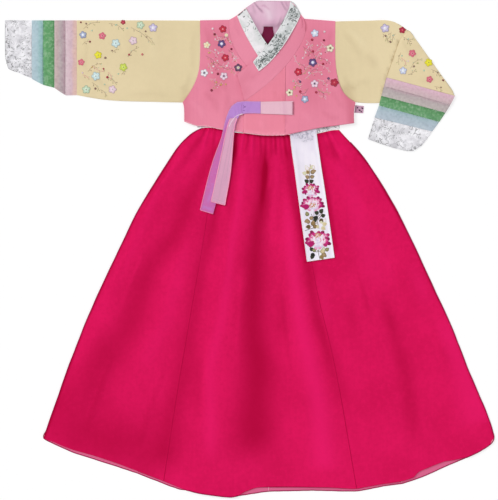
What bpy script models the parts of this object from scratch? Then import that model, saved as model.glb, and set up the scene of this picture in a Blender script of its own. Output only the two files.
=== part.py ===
"""A girl's hanbok laid flat: a short wrapped jacket on a gathered skirt.

Every piece of the garment is one sheet of cloth in an object of its own: an open surface whose wall
comes from Solidify. Lengths and places are millimetres, measured from the middle of the garment with
+X to the right, +Y towards the collar and +Z up from the table; sheet() turns them into metres.
Pieces are made from the table up, so each one can be laid on those that are under it.
"""

from collections import namedtuple
from math import cos, pi, radians, sin

import bmesh
import bpy
import numpy as np
from mathutils import Vector
from mathutils.bvhtree import BVHTree

# ---- Cloth ------------------------------------------------------------------------------------
MM = 0.001
WALL = 1.0              # one layer of cloth
GAP = 0.3               # between pieces, side by side or one on the other
SEAM_INSET = GAP / 2    # what each of two sewn pieces gives up of the gap
TUBE = 2 * WALL + GAP   # a tube of cloth pressed flat
HALF_TUBE = TUBE / 2
FOLD_RADIUS = HALF_TUBE + GAP / 2   # middle of a tube that is folded back on itself
# The pressed edge of a tube, outside and inside: where it is, how far it reaches in from there
# before the cloth lies flat, and how far each side of the tube then is from its middle.
Edge = namedtuple("Edge", "start reach half")
OUTER_SKIN = Edge(0, 1.6, HALF_TUBE)
INNER_SKIN = Edge(1.7, 0.2, GAP / 2)

# ---- Skirt ------------------------------------------------------------------------------------
SKIRT_ROWS = 18
ROWS_CROWD_TO_WAIST = 1.3           # above 1 the rows stand closer at the waist
FRONT_LEFT_COLUMNS, FRONT_MIDDLE_COLUMNS, FRONT_RIGHT_COLUMNS = 14, 26, 16
BACK_COLUMNS = 3
BACK_ROWS = 4

SKIRT_LEFT = [(-106, 225.5), (-136, 200.5), (-215, 73.5), (-251, 1), (-318, -144), (-372.5, -302),
              (-393.5, -357)]
SKIRT_RIGHT = [(168, 227), (233.5, 152), (306.5, 19), (342.5, -60), (373, -120.5), (415.5, -235.5),
               (457.5, -326.5), (465, -357)]
SEAM_LEFT = [(-70.5, 230), (-71, 180), (-82, 61), (-108.5, -96.5), (-144.5, -309.5), (-164, -440)]
SEAM_RIGHT = [(94.5, 217), (118, -32), (161, -223.5), (202, -455)]
WAIST_LEFT = [(-98, 228), (-86, 230.5), (-70.5, 230)]
WAIST_MIDDLE = [(-70.5, 230), (-30.5, 221.5), (26.5, 217), (94.5, 217)]
WAIST_RIGHT = [(94.5, 217), (126, 218.5), (153.5, 225)]
HEM_LEFT = [(-354, -375), (-263, -406), (-164, -440)]
HEM_MIDDLE = [(-164, -440), (-118, -458.5), (-63.5, -469), (-21, -469), (9, -457.5), (202, -455)]
HEM_RIGHT = [(202, -455), (288, -441.5), (360.5, -413), (427, -388.5), (460, -367.5)]
BACK_WAIST_LEFT = [(-50, 226), (-30.5, 221.5), (25, 217)]
BACK_WAIST_RIGHT = [(25, 217), (75.5, 216.5), (120, 218)]
# The back is a little longer than the front, so its hem shows below it here and there.
BACK_SEAM_LEFT = [(-50, 226), (-215, -424.5)]
BACK_SEAM_RIGHT = [(120, 218), (288, -444.5)]
BACK_OPENING = [(25, 217), (35, -461)]
BACK_HEM_FAR_LEFT = [(-354, -378), (-215, -424.5)]
BACK_HEM_LEFT = [(-215, -424.5), (-118, -460), (-63.5, -469), (-21, -470), (9, -463), (35, -461)]
BACK_HEM_RIGHT = [(35, -461), (130.5, -457.5), (191, -459.5), (288, -444.5)]
BACK_HEM_FAR_RIGHT = [(288, -444.5), (324.5, -434), (427, -390.5), (460, -367.5)]

# Ridges and valleys that fan out from the waist. Each runs through four heights of the skirt: its
# place there is a share of the skirt's width from the left, and its rise is in millimetres.
FOLD_HEIGHTS = (207, 36, -173, -420)
Fold = namedtuple("Fold", "name waist upper middle hem rise_waist rise_upper rise_middle rise_hem")
FOLDS = [
    Fold("left edge",          0.000, 0.000, 0.000, 0.000, 0.4, 0.6, 0.5, 0.3),
    Fold("ridge by the edge",  0.045, 0.050, 0.045, 0.040, 2.0, 2.8, 2.4, 1.4),
    Fold("left valley",        0.166, 0.163, 0.115, 0.095, 0.2, 0.2, 0.5, 0.8),
    Fold("left ridge",         0.238, 0.239, 0.198, 0.150, 2.4, 3.0, 3.0, 2.0),
    Fold("valley by the seam", 0.305, 0.310, 0.301, 0.290, 0.2, 0.5, 0.7, 0.7),
    Fold("main ridge",         0.389, 0.370, 0.361, 0.376, 3.0, 3.6, 3.6, 3.2),
    Fold("main valley",        0.500, 0.487, 0.477, 0.472, 0.0, 0.0, 0.0, 0.4),
    Fold("small ridge",        0.545, 0.515, 0.515, 0.520, 2.2, 0.6, 0.5, 1.2),
    Fold("small valley",       0.580, 0.540, 0.550, 0.570, 0.8, 1.8, 1.8, 1.8),
    Fold("right ridge",        0.635, 0.580, 0.593, 0.635, 3.0, 3.6, 3.4, 2.6),
    Fold("right valley",       0.740, 0.675, 0.662, 0.700, 0.4, 0.5, 0.7, 0.7),
    Fold("ridge by the sash",  0.843, 0.775, 0.770, 0.790, 2.4, 2.8, 2.4, 1.8),
    Fold("far right valley",   0.905, 0.870, 0.857, 0.860, 0.2, 0.9, 0.8, 0.6),
    Fold("far right ridge",    0.960, 0.945, 0.945, 0.945, 2.0, 2.0, 1.8, 1.2),
    Fold("right edge",         1.000, 1.000, 1.000, 1.000, 0.4, 0.6, 0.5, 0.3),
]
PRESSED_AT_WAIST = 0.3   # share of a fold's rise that is left where it is sewn to the band
PRESSED_LENGTH = 28      # over this length below the band it reaches its full rise
SIDE_FOLD_REACH = 0.7    # round of a side fold: its reach as a share of its height

BAND_LEFT, BAND_RIGHT, BAND_TOP = -101, 170.5, 268
BAND_COLUMNS, BAND_ROWS = 16, 3
BAND_BOTTOM = [(-101, 229.5), (-86, 232), (-70.5, 231), (-30.5, 222.5), (26.5, 218), (94.5, 218),
               (126, 219.5), (153.5, 226), (170.5, 228.5)]

SASH_LEFT = [(75.5, 232), (75.5, 215), (107.5, -24)]
SASH_RIGHT = [(126, 232), (126.5, 217), (160.5, -16.5)]
SASH_ROWS, SASH_COLUMNS = 16, 4

# ---- Jacket -----------------------------------------------------------------------------------
ARMHOLE_ROWS, SIDE_ROWS = 9, 5
NECK_ROWS = 7            # rows of the front panels beside the collar
ARMHOLE_LEFT = [(-95, 434), (-96, 346), (-102, 321.5), (-111.5, 301), (-128, 278)]
ARMHOLE_RIGHT = [(162, 432.5), (162, 357.5), (166, 325), (174.5, 299), (186, 286), (200, 278)]
SIDE_LEFT = [(-128, 278), (-125.5, 270), (-125, 241.5)]
SIDE_RIGHT = [(200, 278), (197, 257.5), (197.5, 238.5)]
SHOULDER_LEFT = [(-95, 434), (-40, 435)]
SHOULDER_RIGHT = [(103.5, 437), (162, 432.5)]
NECK_LINE = [(-40, 435), (103.5, 437)]
HEM_INNER_FRONT = [(-125, 241.5), (-101, 232), (-86, 233), (-58, 226.5), (-13, 220.5), (37.5, 217)]
HEM_OVERLAP = [(-13, 219.5), (26.5, 214.5), (66, 215)]
HEM_OUTER_FRONT = [(66, 215), (130, 229), (158, 233), (197.5, 238.5)]
HEM_BACK = [(-125, 241.5), (-101, 233), (-86, 234), (-29.5, 224), (51, 215), (130, 230.5),
            (197.5, 238.5)]
INNER_FRONT_EDGE = [(7.5, 331), (30, 310), (37.5, 283.5), (37.5, 217)]
OUTER_FRONT_EDGE = [(-10.5, 280), (-11.5, 255), (-13, 219.5)]
OVERLAP_SEAM = [(67, 347), (66, 215)]
BACK_SHOULDER_COLUMNS, BACK_NECK_COLUMNS = 4, 10
INNER_FRONT_COLUMNS, OUTER_FRONT_COLUMNS, OVERLAP_COLUMNS = 10, 8, 5

# The collar band, from the shoulder down. The left side runs under the right side.
COLLAR_LEFT_SHOULDER = [(-40, 435), (-25.5, 443), (-7, 458.5)]
COLLAR_LEFT_OUTER = [(-40, 435), (-40, 414.5), (-31.5, 384), (-18.5, 362.5), (7.5, 331)]
NECK_LEFT = [(-7, 458.5), (14.5, 413), (31, 388)]
NECK_LEFT_UNDER = [(31, 388), (39.5, 375.5)]
COLLAR_RIGHT_SHOULDER = [(76, 470.5), (84.5, 465.5), (96, 444.5), (103.5, 437)]
COLLAR_RIGHT_UPPER = [(103.5, 437), (106, 429.5), (105, 409.5), (98.5, 392), (77, 358.5), (67, 347)]
COLLAR_RIGHT_LOWER = [(67, 347), (53, 331), (16, 299), (-10.5, 280)]
NECK_RIGHT = [(76, 470.5), (75, 453.5), (56, 416), (35, 386.5)]
COLLAR_RIGHT_CROSSING = [(35, 386.5), (7.5, 354.5), (-6, 346), (-25, 331.5)]
COLLAR_RIGHT_END = [(-25, 331.5), (-17.5, 306), (-10.5, 280)]
COLLAR_BACK_TOP = [(-7, 458.5), (8.5, 469), (13, 471), (76, 470.5)]
NECK_ROWS_IN_V, CROSSING_ROWS, LOWER_ROWS = 6, 6, 5
COLLAR_COLUMNS, LINING_COLUMNS, COLLAR_BACK_ROWS = 4, 5, 3

STRIP_LEFT_OUTER = [(-24.5, 442.5), (-12, 413.5), (14.5, 368), (22.5, 357.5)]
STRIP_LEFT_INNER = [(-7.5, 457), (16, 413.5), (39.5, 377.5)]
STRIP_RIGHT_OUTER = [(95.5, 443.5), (87, 426), (61.5, 384), (33.5, 351), (16.5, 337)]
STRIP_RIGHT_INNER = [(76.5, 469.5), (74.5, 457), (41.5, 398), (5.5, 355)]
STRIP_RIGHT_SHOULDER = [(76.5, 469.5), (84.5, 465), (95.5, 443.5)]
STRIP_COLUMNS, STRIP_LEFT_ROWS, STRIP_RIGHT_ROWS = 2, 6, 10

LABEL_LEFT = [(25.5, 422), (26, 398.5), (31, 391.5)]
LABEL_RIGHT = [(43.5, 422), (42.5, 404), (34.5, 391.5)]
LABEL_ROWS, LABEL_COLUMNS = 4, 2

# ---- Ties -------------------------------------------------------------------------------------
TIE_PINK_TOP = [(20, 279), (82, 280)]
TIE_PINK_BOTTOM = [(20, 256), (82, 253.5)]
TIE_LILAC_OUTER = [(20, 279.5), (-24, 278.5), (-34.5, 272), (-46.5, 246), (-54, 214), (-73, 161.5),
                   (-95.5, 74)]
TIE_LILAC_INNER = [(20, 256.5), (-14, 256), (-21.5, 252.5), (-31.5, 213), (-70, 66)]
TIE_LILAC_ROWS, TIE_COLUMNS = 18, 2
TAIL_PINK_LEFT = [(-38.5, 247), (-42.5, 237.5), (-75, 89.5)]
TAIL_PINK_RIGHT = [(-24, 248.5), (-28, 237.5), (-37, 144.5), (-48, 83)]
TAIL_ROWS = 12
TIE_PINK_COLUMNS, TIE_PINK_ROWS = 5, 2
SIDE_TIE_INNER = [(199.6, 273), (198, 258.5)]
SIDE_TIE_OUTER = [(216.5, 271.5), (215, 257.5)]

# ---- Sleeves ----------------------------------------------------------------------------------
SLEEVE_RINGS = 8
STRIPE_POINTS = 6        # segments along one side of a stripe's ring
LEFT_TOP = [(-95, 434), (-213, 434.5), (-329, 434.5)]
LEFT_BOTTOM = [(-128, 278), (-261.5, 281), (-302.5, 286.5), (-329, 291.5)]
# Where one stripe ends and the next begins, from the sleeve out: a point on the sleeve's top edge
# and one on its bottom edge.
Seam = namedtuple("Seam", "top bottom")
STRIPE_NAMES = ("stripe_pink", "stripe_mauve", "stripe_green", "stripe_blue", "cuff")
LEFT_SEAMS = [
    Seam((-329, 434.5), (-329, 291.5)),
    Seam((-350.5, 434.5), (-350.5, 291)),
    Seam((-371.5, 434.5), (-371.5, 305.5)),
    Seam((-393.5, 434.5), (-393.5, 311)),
    Seam((-414.5, 434.5), (-414.5, 323)),
]
LEFT_CUFF_MIDDLE = [(-440, 434.5), (-438, 333.5)]
LEFT_CUFF_END = [(-465, 434.5), (-464.5, 363), (-459, 342)]
# The right sleeve lies flat as far as the crease, where it is folded back over itself.
RIGHT_TOP = [(162, 432.5), (231.5, 434), (269.5, 434), (300.5, 414)]
RIGHT_BOTTOM = [(200, 278), (241, 276.5), (338, 287), (385, 295.5)]
CREASE = [(300.5, 414), (385, 295.5)]
CREASE_ANGLES = (0, 45, 90, 135, 180)
FOREARM_TOP = [(300.5, 414), (286.5, 409.5), (283, 397.5), (258.5, 325.5)]
FOREARM_BOTTOM = [(385, 295.5), (389, 290)]
RIGHT_RINGS, FOREARM_RINGS = 8, 4
RIGHT_SEAMS = [
    Seam((258.5, 325.5), (389, 290)),
    Seam((253.5, 309), (381, 273.5)),
    Seam((248.5, 290.5), (371.5, 258.5)),
    Seam((244, 272), (360, 241)),
    Seam((235.5, 249.5), (346.5, 223)),
]
RIGHT_CUFF_MIDDLE = [(229.5, 229), (336.5, 208)]
RIGHT_CUFF_END = [(223, 208.5), (302, 184.5), (325, 195)]

# ---- Finishes: colour, roughness ----------------------------------------------------------------
Finish = namedtuple("Finish", "colour roughness")
CRIMSON = Finish((0.72, 0.01, 0.09), 0.75)
ROSE = Finish((0.83, 0.23, 0.34), 0.6)
SATIN_PINK = Finish((0.76, 0.50, 0.68), 0.4)
SILVER = Finish((0.78, 0.79, 0.80), 0.35)
WHITE_SATIN = Finish((0.84, 0.82, 0.88), 0.4)
MAGENTA = Finish((0.26, 0.01, 0.06), 0.6)
LILAC = Finish((0.50, 0.31, 0.68), 0.5)
PALE_PINK = Finish((0.84, 0.55, 0.67), 0.5)
YELLOW = Finish((0.76, 0.65, 0.40), 0.6)
STRIPE_FINISHES = {
    "stripe_pink": Finish((0.69, 0.47, 0.54), 0.6),
    "stripe_mauve": Finish((0.48, 0.35, 0.40), 0.6),
    "stripe_green": Finish((0.11, 0.39, 0.14), 0.6),
    "stripe_blue": Finish((0.39, 0.58, 0.62), 0.6),
    "cuff": SILVER,
}


# ---- Lines and patches ------------------------------------------------------------------------
def even(count):
    return np.linspace(0, 1, count + 1)


def along(points, shares):
    """Points at these shares of the length of a smooth curve through the given points."""
    points = np.array(points, float)
    if len(points) == 2:
        return points[0] + np.outer(shares, points[1] - points[0])
    at = np.concatenate([[0], np.cumsum(np.linalg.norm(np.diff(points, axis=0), axis=1))])
    slopes = np.empty_like(points)
    slopes[1:-1] = (points[2:] - points[:-2]) / (at[2:] - at[:-2])[:, None]
    slopes[0] = (points[1] - points[0]) / (at[1] - at[0])
    slopes[-1] = (points[-1] - points[-2]) / (at[-1] - at[-2])
    fine = []
    for i in range(len(points) - 1):
        span = at[i + 1] - at[i]
        for t in np.linspace(0, 1, 12, endpoint=i == len(points) - 2):
            fine.append(
                (2 * t**3 - 3 * t**2 + 1) * points[i] + (t**3 - 2 * t**2 + t) * span * slopes[i]
                + (3 * t**2 - 2 * t**3) * points[i + 1] + (t**3 - t**2) * span * slopes[i + 1]
            )
    fine = np.array(fine)
    length = np.concatenate([[0], np.cumsum(np.linalg.norm(np.diff(fine, axis=0), axis=1))])
    wanted = np.asarray(shares) * length[-1]
    return np.stack([np.interp(wanted, length, fine[:, k]) for k in (0, 1)], axis=1)


def joined(*lines):
    """Lines end to end, without the doubled points where they meet."""
    return np.concatenate([lines[0]] + [line[1:] for line in lines[1:]])


def normals(line):
    """Unit vectors to the left of a line's course, at its points."""
    steps = np.diff(line, axis=0)
    steps = np.concatenate([steps[:1], steps[:-1] / 2 + steps[1:] / 2, steps[-1:]])
    steps /= np.linalg.norm(steps, axis=1)[:, None]
    return np.stack([-steps[:, 1], steps[:, 0]], axis=1)


def shifted(line, distance):
    return line + normals(line) * distance


def patch(top, right, bottom, left):
    """A grid of points that fills four edges; top and bottom run to the right, the others down."""
    u, v = even(len(top) - 1)[None, :, None], even(len(left) - 1)[:, None, None]
    corners = ((1 - u) * (1 - v) * top[0] + u * (1 - v) * top[-1]
               + (1 - u) * v * bottom[0] + u * v * bottom[-1])
    return (1 - v) * top[None] + v * bottom[None] + (1 - u) * left[:, None] + u * right[:, None] - corners


def inset(top, right, bottom, left, distances):
    """The four edges moved in by a distance each, still meeting at the corners."""
    edges = (top, right, bottom[::-1], left[::-1])
    loop = np.concatenate([edge[:-1] for edge in edges])
    inward = np.concatenate([[d] * (len(edge) - 1) for edge, d in zip(edges, distances)])
    steps = np.roll(loop, -1, axis=0) - loop
    area = np.sum(loop[:, 0] * np.roll(loop[:, 1], -1) - np.roll(loop[:, 0], -1) * loop[:, 1])
    side = np.stack([-steps[:, 1], steps[:, 0]], axis=1) * np.sign(area)
    side /= np.linalg.norm(side, axis=1)[:, None]
    moved = loop.copy()
    for i in range(len(loop)):
        before, after = side[i - 1], side[i]
        turn = before[0] * after[1] - before[1] * after[0]
        if abs(turn) < 0.2:
            moved[i] += (before + after) / 2 * (inward[i - 1] + inward[i]) / 2
        else:
            moved[i] += np.linalg.solve(np.array([before, after]), [inward[i - 1], inward[i]])
    moved = np.concatenate([moved, moved[:1]])
    ends = np.cumsum([0] + [len(edge) - 1 for edge in edges])
    top, right, bottom, left = (moved[a : b + 1] for a, b in zip(ends, ends[1:]))
    return top, right, bottom[::-1], left[::-1]


def panel(top, right, bottom, left, distances=(SEAM_INSET,) * 4):
    """The grid of one cut piece, with the seam gap taken off its edges."""
    return patch(*inset(top, right, bottom, left, distances))


# ---- Objects ----------------------------------------------------------------------------------
def material(name, finish):
    made = bpy.data.materials.new(name)
    made.use_nodes = True
    shader = made.node_tree.nodes["Principled BSDF"]
    shader.inputs["Base Color"].default_value = (*finish.colour, 1)
    shader.inputs["Roughness"].default_value = finish.roughness
    shader.inputs["Metallic"].default_value = 0
    return made


def faces_outward(mesh):
    """Whether the faces of a bent sheet look away from its middle."""
    middle = sum((v.co for v in mesh.verts), Vector()) / len(mesh.verts)
    return sum((f.calc_center_median() - middle).dot(f.normal) * f.calc_area() for f in mesh.faces) > 0


def faces_up(mesh):
    return sum(f.normal.z * f.calc_area() for f in mesh.faces) > 0


def encloses(mesh):
    return mesh.calc_volume(signed=True) > 0


def surface(name, points, finish, outward):
    """An object from a grid of points, its faces turned the way that outward tells."""
    rows, columns = points.shape[0] - 1, points.shape[1] - 1
    mesh = bmesh.new()
    bmesh.ops.create_grid(mesh, x_segments=columns, y_segments=rows, size=1)
    mesh.verts.ensure_lookup_table()
    for vertex, point in zip(mesh.verts, points.reshape(-1, 3), strict=True):
        vertex.co = Vector(point) * MM
    bmesh.ops.remove_doubles(mesh, verts=mesh.verts, dist=0.01 * MM)
    mesh.normal_update()
    if not outward(mesh):
        bmesh.ops.reverse_faces(mesh, faces=mesh.faces)
    data = bpy.data.meshes.new(name)
    mesh.to_mesh(data)
    mesh.free()
    data.shade_smooth()
    piece = bpy.data.objects.new(name, data)
    garment.objects.link(piece)
    piece.data.materials.append(material(name, finish))
    return piece


def sheet(name, points, finish, skin=False):
    """A piece of cloth from its underside, or from its outer skin if skin is set."""
    piece = surface(name, points, finish, faces_outward if skin else faces_up)
    wall = piece.modifiers.new("cloth", "SOLIDIFY")
    wall.thickness = WALL * MM
    wall.offset = -1 if skin else 1
    wall.use_even_offset = True
    return piece


def flat(grid, height=0.0):
    return np.concatenate([grid, np.full(grid.shape[:2] + (1,), height)], axis=2)


def laid(grid, under, seen_from=100):
    """The grid as a cloth that lies on the pieces under it, or on the table.

    seen_from is the height from which it looks down for them.
    """
    bpy.context.view_layer.update()
    graph = bpy.context.evaluated_depsgraph_get()
    trees = [BVHTree.FromObject(piece, graph) for piece in under]
    across, down = np.diff(grid, axis=1), np.diff(grid, axis=0)
    reach = max(np.linalg.norm(across, axis=2).max(), np.linalg.norm(down, axis=2).max())
    around = [(0.0, 0.0)]
    for ring, count in ((1 / 3, 6), (2 / 3, 12), (1, 18)):
        around += [(reach * ring * cos(2 * pi * k / count), reach * ring * sin(2 * pi * k / count))
                   for k in range(count)]
    rests = np.zeros(grid.shape[:2])
    for index in np.ndindex(rests.shape):
        x, y = grid[index]
        for dx, dy in around:
            above = Vector((x + dx, y + dy, seen_from)) * MM
            for tree in trees:
                hit = tree.ray_cast(above, Vector((0, 0, -1)))[0]
                if hit is not None:
                    rests[index] = max(rests[index], hit.z / MM + GAP)
    eased = rests
    for _ in range(3):
        wide = np.pad(eased, 1, "edge")
        mean = (wide[:-2, 1:-1] + wide[2:, 1:-1] + wide[1:-1, :-2] + wide[1:-1, 2:]) / 4
        eased = np.maximum(rests, mean)
    return np.concatenate([grid, eased[:, :, None]], axis=2)


# ---- Skirt ------------------------------------------------------------------------------------
def ease(t):
    t = np.clip(t, 0, 1)
    return t * t * (3 - 2 * t)


def skirt_rise(x, y):
    """How far the folds lift the front of the skirt at a point."""
    left = np.interp(-y, [-p[1] for p in SKIRT_LEFT], [p[0] for p in SKIRT_LEFT])
    right = np.interp(-y, [-p[1] for p in SKIRT_RIGHT], [p[0] for p in SKIRT_RIGHT])
    share = np.clip((x - left) / (right - left), 0, 1)
    heights = [-h for h in FOLD_HEIGHTS]
    places = [np.interp(-y, heights, fold[1:5]) for fold in FOLDS]
    rises = [np.interp(-y, heights, fold[5:9]) for fold in FOLDS]
    k = int(np.clip(np.searchsorted(places, share) - 1, 0, len(FOLDS) - 2))
    rise = rises[k] + (rises[k + 1] - rises[k]) * ease((share - places[k]) / (places[k + 1] - places[k]))
    waist = np.interp(x, *zip(*BAND_BOTTOM))
    return rise * (PRESSED_AT_WAIST + (1 - PRESSED_AT_WAIST) * ease((waist - y) / PRESSED_LENGTH))


def draped(grid):
    """A front panel's outer skin: the pressed-flat height and the folds on it."""
    rise = np.array([[skirt_rise(x, y) for x, y in row] for row in grid])
    return np.concatenate([grid, (TUBE + rise)[:, :, None]], axis=2)


def skirt_side(name, outline, inward, seam, waist, hem, back_seam, back_hem, columns):
    """A side panel: from the front seam over the folded side edge to the back seam."""
    rows = even(SKIRT_ROWS) ** ROWS_CROWD_TO_WAIST
    edge = along(outline, rows)
    heights = np.array([TUBE + skirt_rise(*point) for point in edge])
    inner = edge + normals(edge) * inward * heights[:, None] * SIDE_FOLD_REACH
    seam_points, back_points = along(seam, rows), along(back_seam, rows)
    front = panel(
        along([inner[0]] + waist, even(columns)), seam_points,
        along([inner[-1]] + hem, even(columns)), inner, (SEAM_INSET, SEAM_INSET, 0, 0),
    )
    back = panel(
        along([inner[0]] + waist[:-1] + [back_seam[0]], even(BACK_COLUMNS)), back_points,
        along([inner[-1]] + back_hem, even(BACK_COLUMNS)), inner, (SEAM_INSET, SEAM_INSET, 0, 0),
    )
    fold = np.concatenate([front[:, 0] + edge - inner, heights[:, None] / 2], axis=1)[:, None]
    return sheet(name, np.concatenate([draped(front)[:, ::-1], fold, flat(back)], axis=1), CRIMSON,
                 skin=True)


def make_skirt():
    rows = even(SKIRT_ROWS) ** ROWS_CROWD_TO_WAIST
    made = [
        sheet("skirt_front_middle", draped(panel(
            along(WAIST_MIDDLE, even(FRONT_MIDDLE_COLUMNS)), along(SEAM_RIGHT, rows),
            along(HEM_MIDDLE, even(FRONT_MIDDLE_COLUMNS)), along(SEAM_LEFT, rows),
            (SEAM_INSET, SEAM_INSET, 0, SEAM_INSET),
        )), CRIMSON, skin=True),
        skirt_side("skirt_side_left", SKIRT_LEFT, 1, SEAM_LEFT, WAIST_LEFT, HEM_LEFT,
                   BACK_SEAM_LEFT, BACK_HEM_FAR_LEFT, FRONT_LEFT_COLUMNS),
        skirt_side("skirt_side_right", SKIRT_RIGHT, -1, SEAM_RIGHT, WAIST_RIGHT[::-1],
                   HEM_RIGHT[::-1], BACK_SEAM_RIGHT, BACK_HEM_FAR_RIGHT[::-1], FRONT_RIGHT_COLUMNS),
    ]
    backs = (("skirt_back_left", BACK_WAIST_LEFT, BACK_SEAM_LEFT, BACK_OPENING, BACK_HEM_LEFT),
             ("skirt_back_right", BACK_WAIST_RIGHT, BACK_OPENING, BACK_SEAM_RIGHT, BACK_HEM_RIGHT))
    for name, waist, left, right, hem in backs:
        made.append(sheet(name, flat(panel(
            along(waist, even(BACK_COLUMNS)), along(right, even(BACK_ROWS)),
            along(hem, even(BACK_COLUMNS)), along(left, even(BACK_ROWS)),
        )), CRIMSON))
    return made


def make_waistband():
    bottom = along(BAND_BOTTOM, even(BAND_COLUMNS))
    top = along([(BAND_LEFT, BAND_TOP), (BAND_RIGHT, BAND_TOP)], even(BAND_COLUMNS))
    return tube("waistband", patch(top, along([top[-1], bottom[-1]], even(BAND_ROWS)), bottom,
                                   along([top[0], bottom[0]], even(BAND_ROWS))), WHITE_SATIN)


def make_sash(under):
    rows, columns = even(SASH_ROWS), even(SASH_COLUMNS)
    left, right = along(SASH_LEFT, rows), along(SASH_RIGHT, rows)
    grid = panel(along([left[0], right[0]], columns), right, along([left[-1], right[-1]], columns), left)
    return sheet("sash", laid(grid, under), WHITE_SATIN)


# ---- Jacket -----------------------------------------------------------------------------------
def body_edge(armhole, side):
    return joined(along(armhole, even(ARMHOLE_ROWS)), along(side, even(SIDE_ROWS)))


def make_body(under):
    rows = ARMHOLE_ROWS + SIDE_ROWS
    left, right = body_edge(ARMHOLE_LEFT, SIDE_LEFT), body_edge(ARMHOLE_RIGHT, SIDE_RIGHT)
    top = joined(along(SHOULDER_LEFT, even(BACK_SHOULDER_COLUMNS)),
                 along(NECK_LINE, even(BACK_NECK_COLUMNS)),
                 along(SHOULDER_RIGHT, even(BACK_SHOULDER_COLUMNS)))
    back = sheet("jacket_back", laid(panel(top, right, along(HEM_BACK, even(len(top) - 1)), left),
                                     under), ROSE)
    collar_back = sheet("collar_back", flat(panel(
        along(COLLAR_BACK_TOP, even(LINING_COLUMNS)),
        along(COLLAR_RIGHT_SHOULDER, even(COLLAR_BACK_ROWS)), along(NECK_LINE, even(LINING_COLUMNS)),
        along(COLLAR_LEFT_SHOULDER[::-1], even(COLLAR_BACK_ROWS)),
    )), ROSE)
    under = under + [back, collar_back]
    neck_edge = joined(along(COLLAR_LEFT_OUTER, even(NECK_ROWS)),
                       along(INNER_FRONT_EDGE, even(rows - NECK_ROWS)))
    inner = sheet("jacket_front_left", laid(panel(
        along(SHOULDER_LEFT, even(INNER_FRONT_COLUMNS)), neck_edge,
        along(HEM_INNER_FRONT, even(INNER_FRONT_COLUMNS)), left,
    ), under), ROSE)
    return back, collar_back, inner


def make_neck(under):
    """The lining that shows in the neck, the left side of the collar, its strip and the label."""
    in_v, columns = even(NECK_ROWS_IN_V), even(LINING_COLUMNS)
    neck_left, neck_right = along(NECK_LEFT, in_v), along(NECK_RIGHT, in_v)
    lining = sheet("back_lining", laid(panel(
        along(COLLAR_BACK_TOP, columns), neck_right, along([neck_left[-1], neck_right[-1]], columns),
        neck_left,
    ), under), SATIN_PINK)
    inner_edge = joined(neck_left, along(NECK_LEFT_UNDER, even(NECK_ROWS - NECK_ROWS_IN_V)))
    outer_edge = along(COLLAR_LEFT_OUTER, even(NECK_ROWS))
    collar = sheet("collar_left", laid(panel(
        along(COLLAR_LEFT_SHOULDER, even(COLLAR_COLUMNS)), inner_edge,
        along([outer_edge[-1], inner_edge[-1]], even(COLLAR_COLUMNS)), outer_edge,
    ), under), ROSE)
    rows, across = even(STRIP_LEFT_ROWS), even(STRIP_COLUMNS)
    left, right = along(STRIP_LEFT_OUTER, rows), along(STRIP_LEFT_INNER, rows)
    strip = sheet("collar_strip_left", laid(panel(
        along([left[0], right[0]], across), right, along([left[-1], right[-1]], across), left,
    ), [collar]), SILVER)
    left, right = along(LABEL_LEFT, even(LABEL_ROWS)), along(LABEL_RIGHT, even(LABEL_ROWS))
    label = sheet("neck_label", laid(panel(
        along([left[0], right[0]], even(LABEL_COLUMNS)), right,
        along([left[-1], right[-1]], even(LABEL_COLUMNS)), left,
    ), [lining]), MAGENTA)
    return lining, collar, strip, label


def make_outer_front(under):
    """The right front with its overlap panel, and the side of the collar that lies on top."""
    upper = along(COLLAR_RIGHT_UPPER, even(NECK_ROWS))
    lower = along(COLLAR_RIGHT_LOWER, even(LOWER_ROWS))
    below = ARMHOLE_ROWS + SIDE_ROWS - NECK_ROWS
    seam = along(OVERLAP_SEAM, even(below))
    front = sheet("jacket_front_right", laid(panel(
        along(SHOULDER_RIGHT, even(OUTER_FRONT_COLUMNS)), body_edge(ARMHOLE_RIGHT, SIDE_RIGHT),
        along(HEM_OUTER_FRONT, even(OUTER_FRONT_COLUMNS)), joined(upper, seam),
    ), under), ROSE)
    overlap = sheet("overlap_panel", laid(panel(
        lower[::-1], seam, along(HEM_OVERLAP, even(OVERLAP_COLUMNS)),
        along(OUTER_FRONT_EDGE, even(below)),
    ), under), ROSE)
    neck_edge = joined(along(NECK_RIGHT, even(NECK_ROWS_IN_V)),
                       along(COLLAR_RIGHT_CROSSING, even(CROSSING_ROWS)))
    collar = sheet("collar_right", laid(panel(
        along(COLLAR_RIGHT_SHOULDER, even(COLLAR_COLUMNS)), joined(upper, lower),
        along(COLLAR_RIGHT_END, even(COLLAR_COLUMNS)), neck_edge,
    ), under), ROSE)
    rows, across = even(STRIP_RIGHT_ROWS), even(STRIP_COLUMNS)
    left, right = along(STRIP_RIGHT_INNER, rows), along(STRIP_RIGHT_OUTER, rows)
    strip = sheet("collar_strip_right", laid(panel(
        along(STRIP_RIGHT_SHOULDER, across), right, along([left[-1], right[-1]], across), left,
    ), under + [collar]), SILVER)
    return front, overlap, collar, strip


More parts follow.
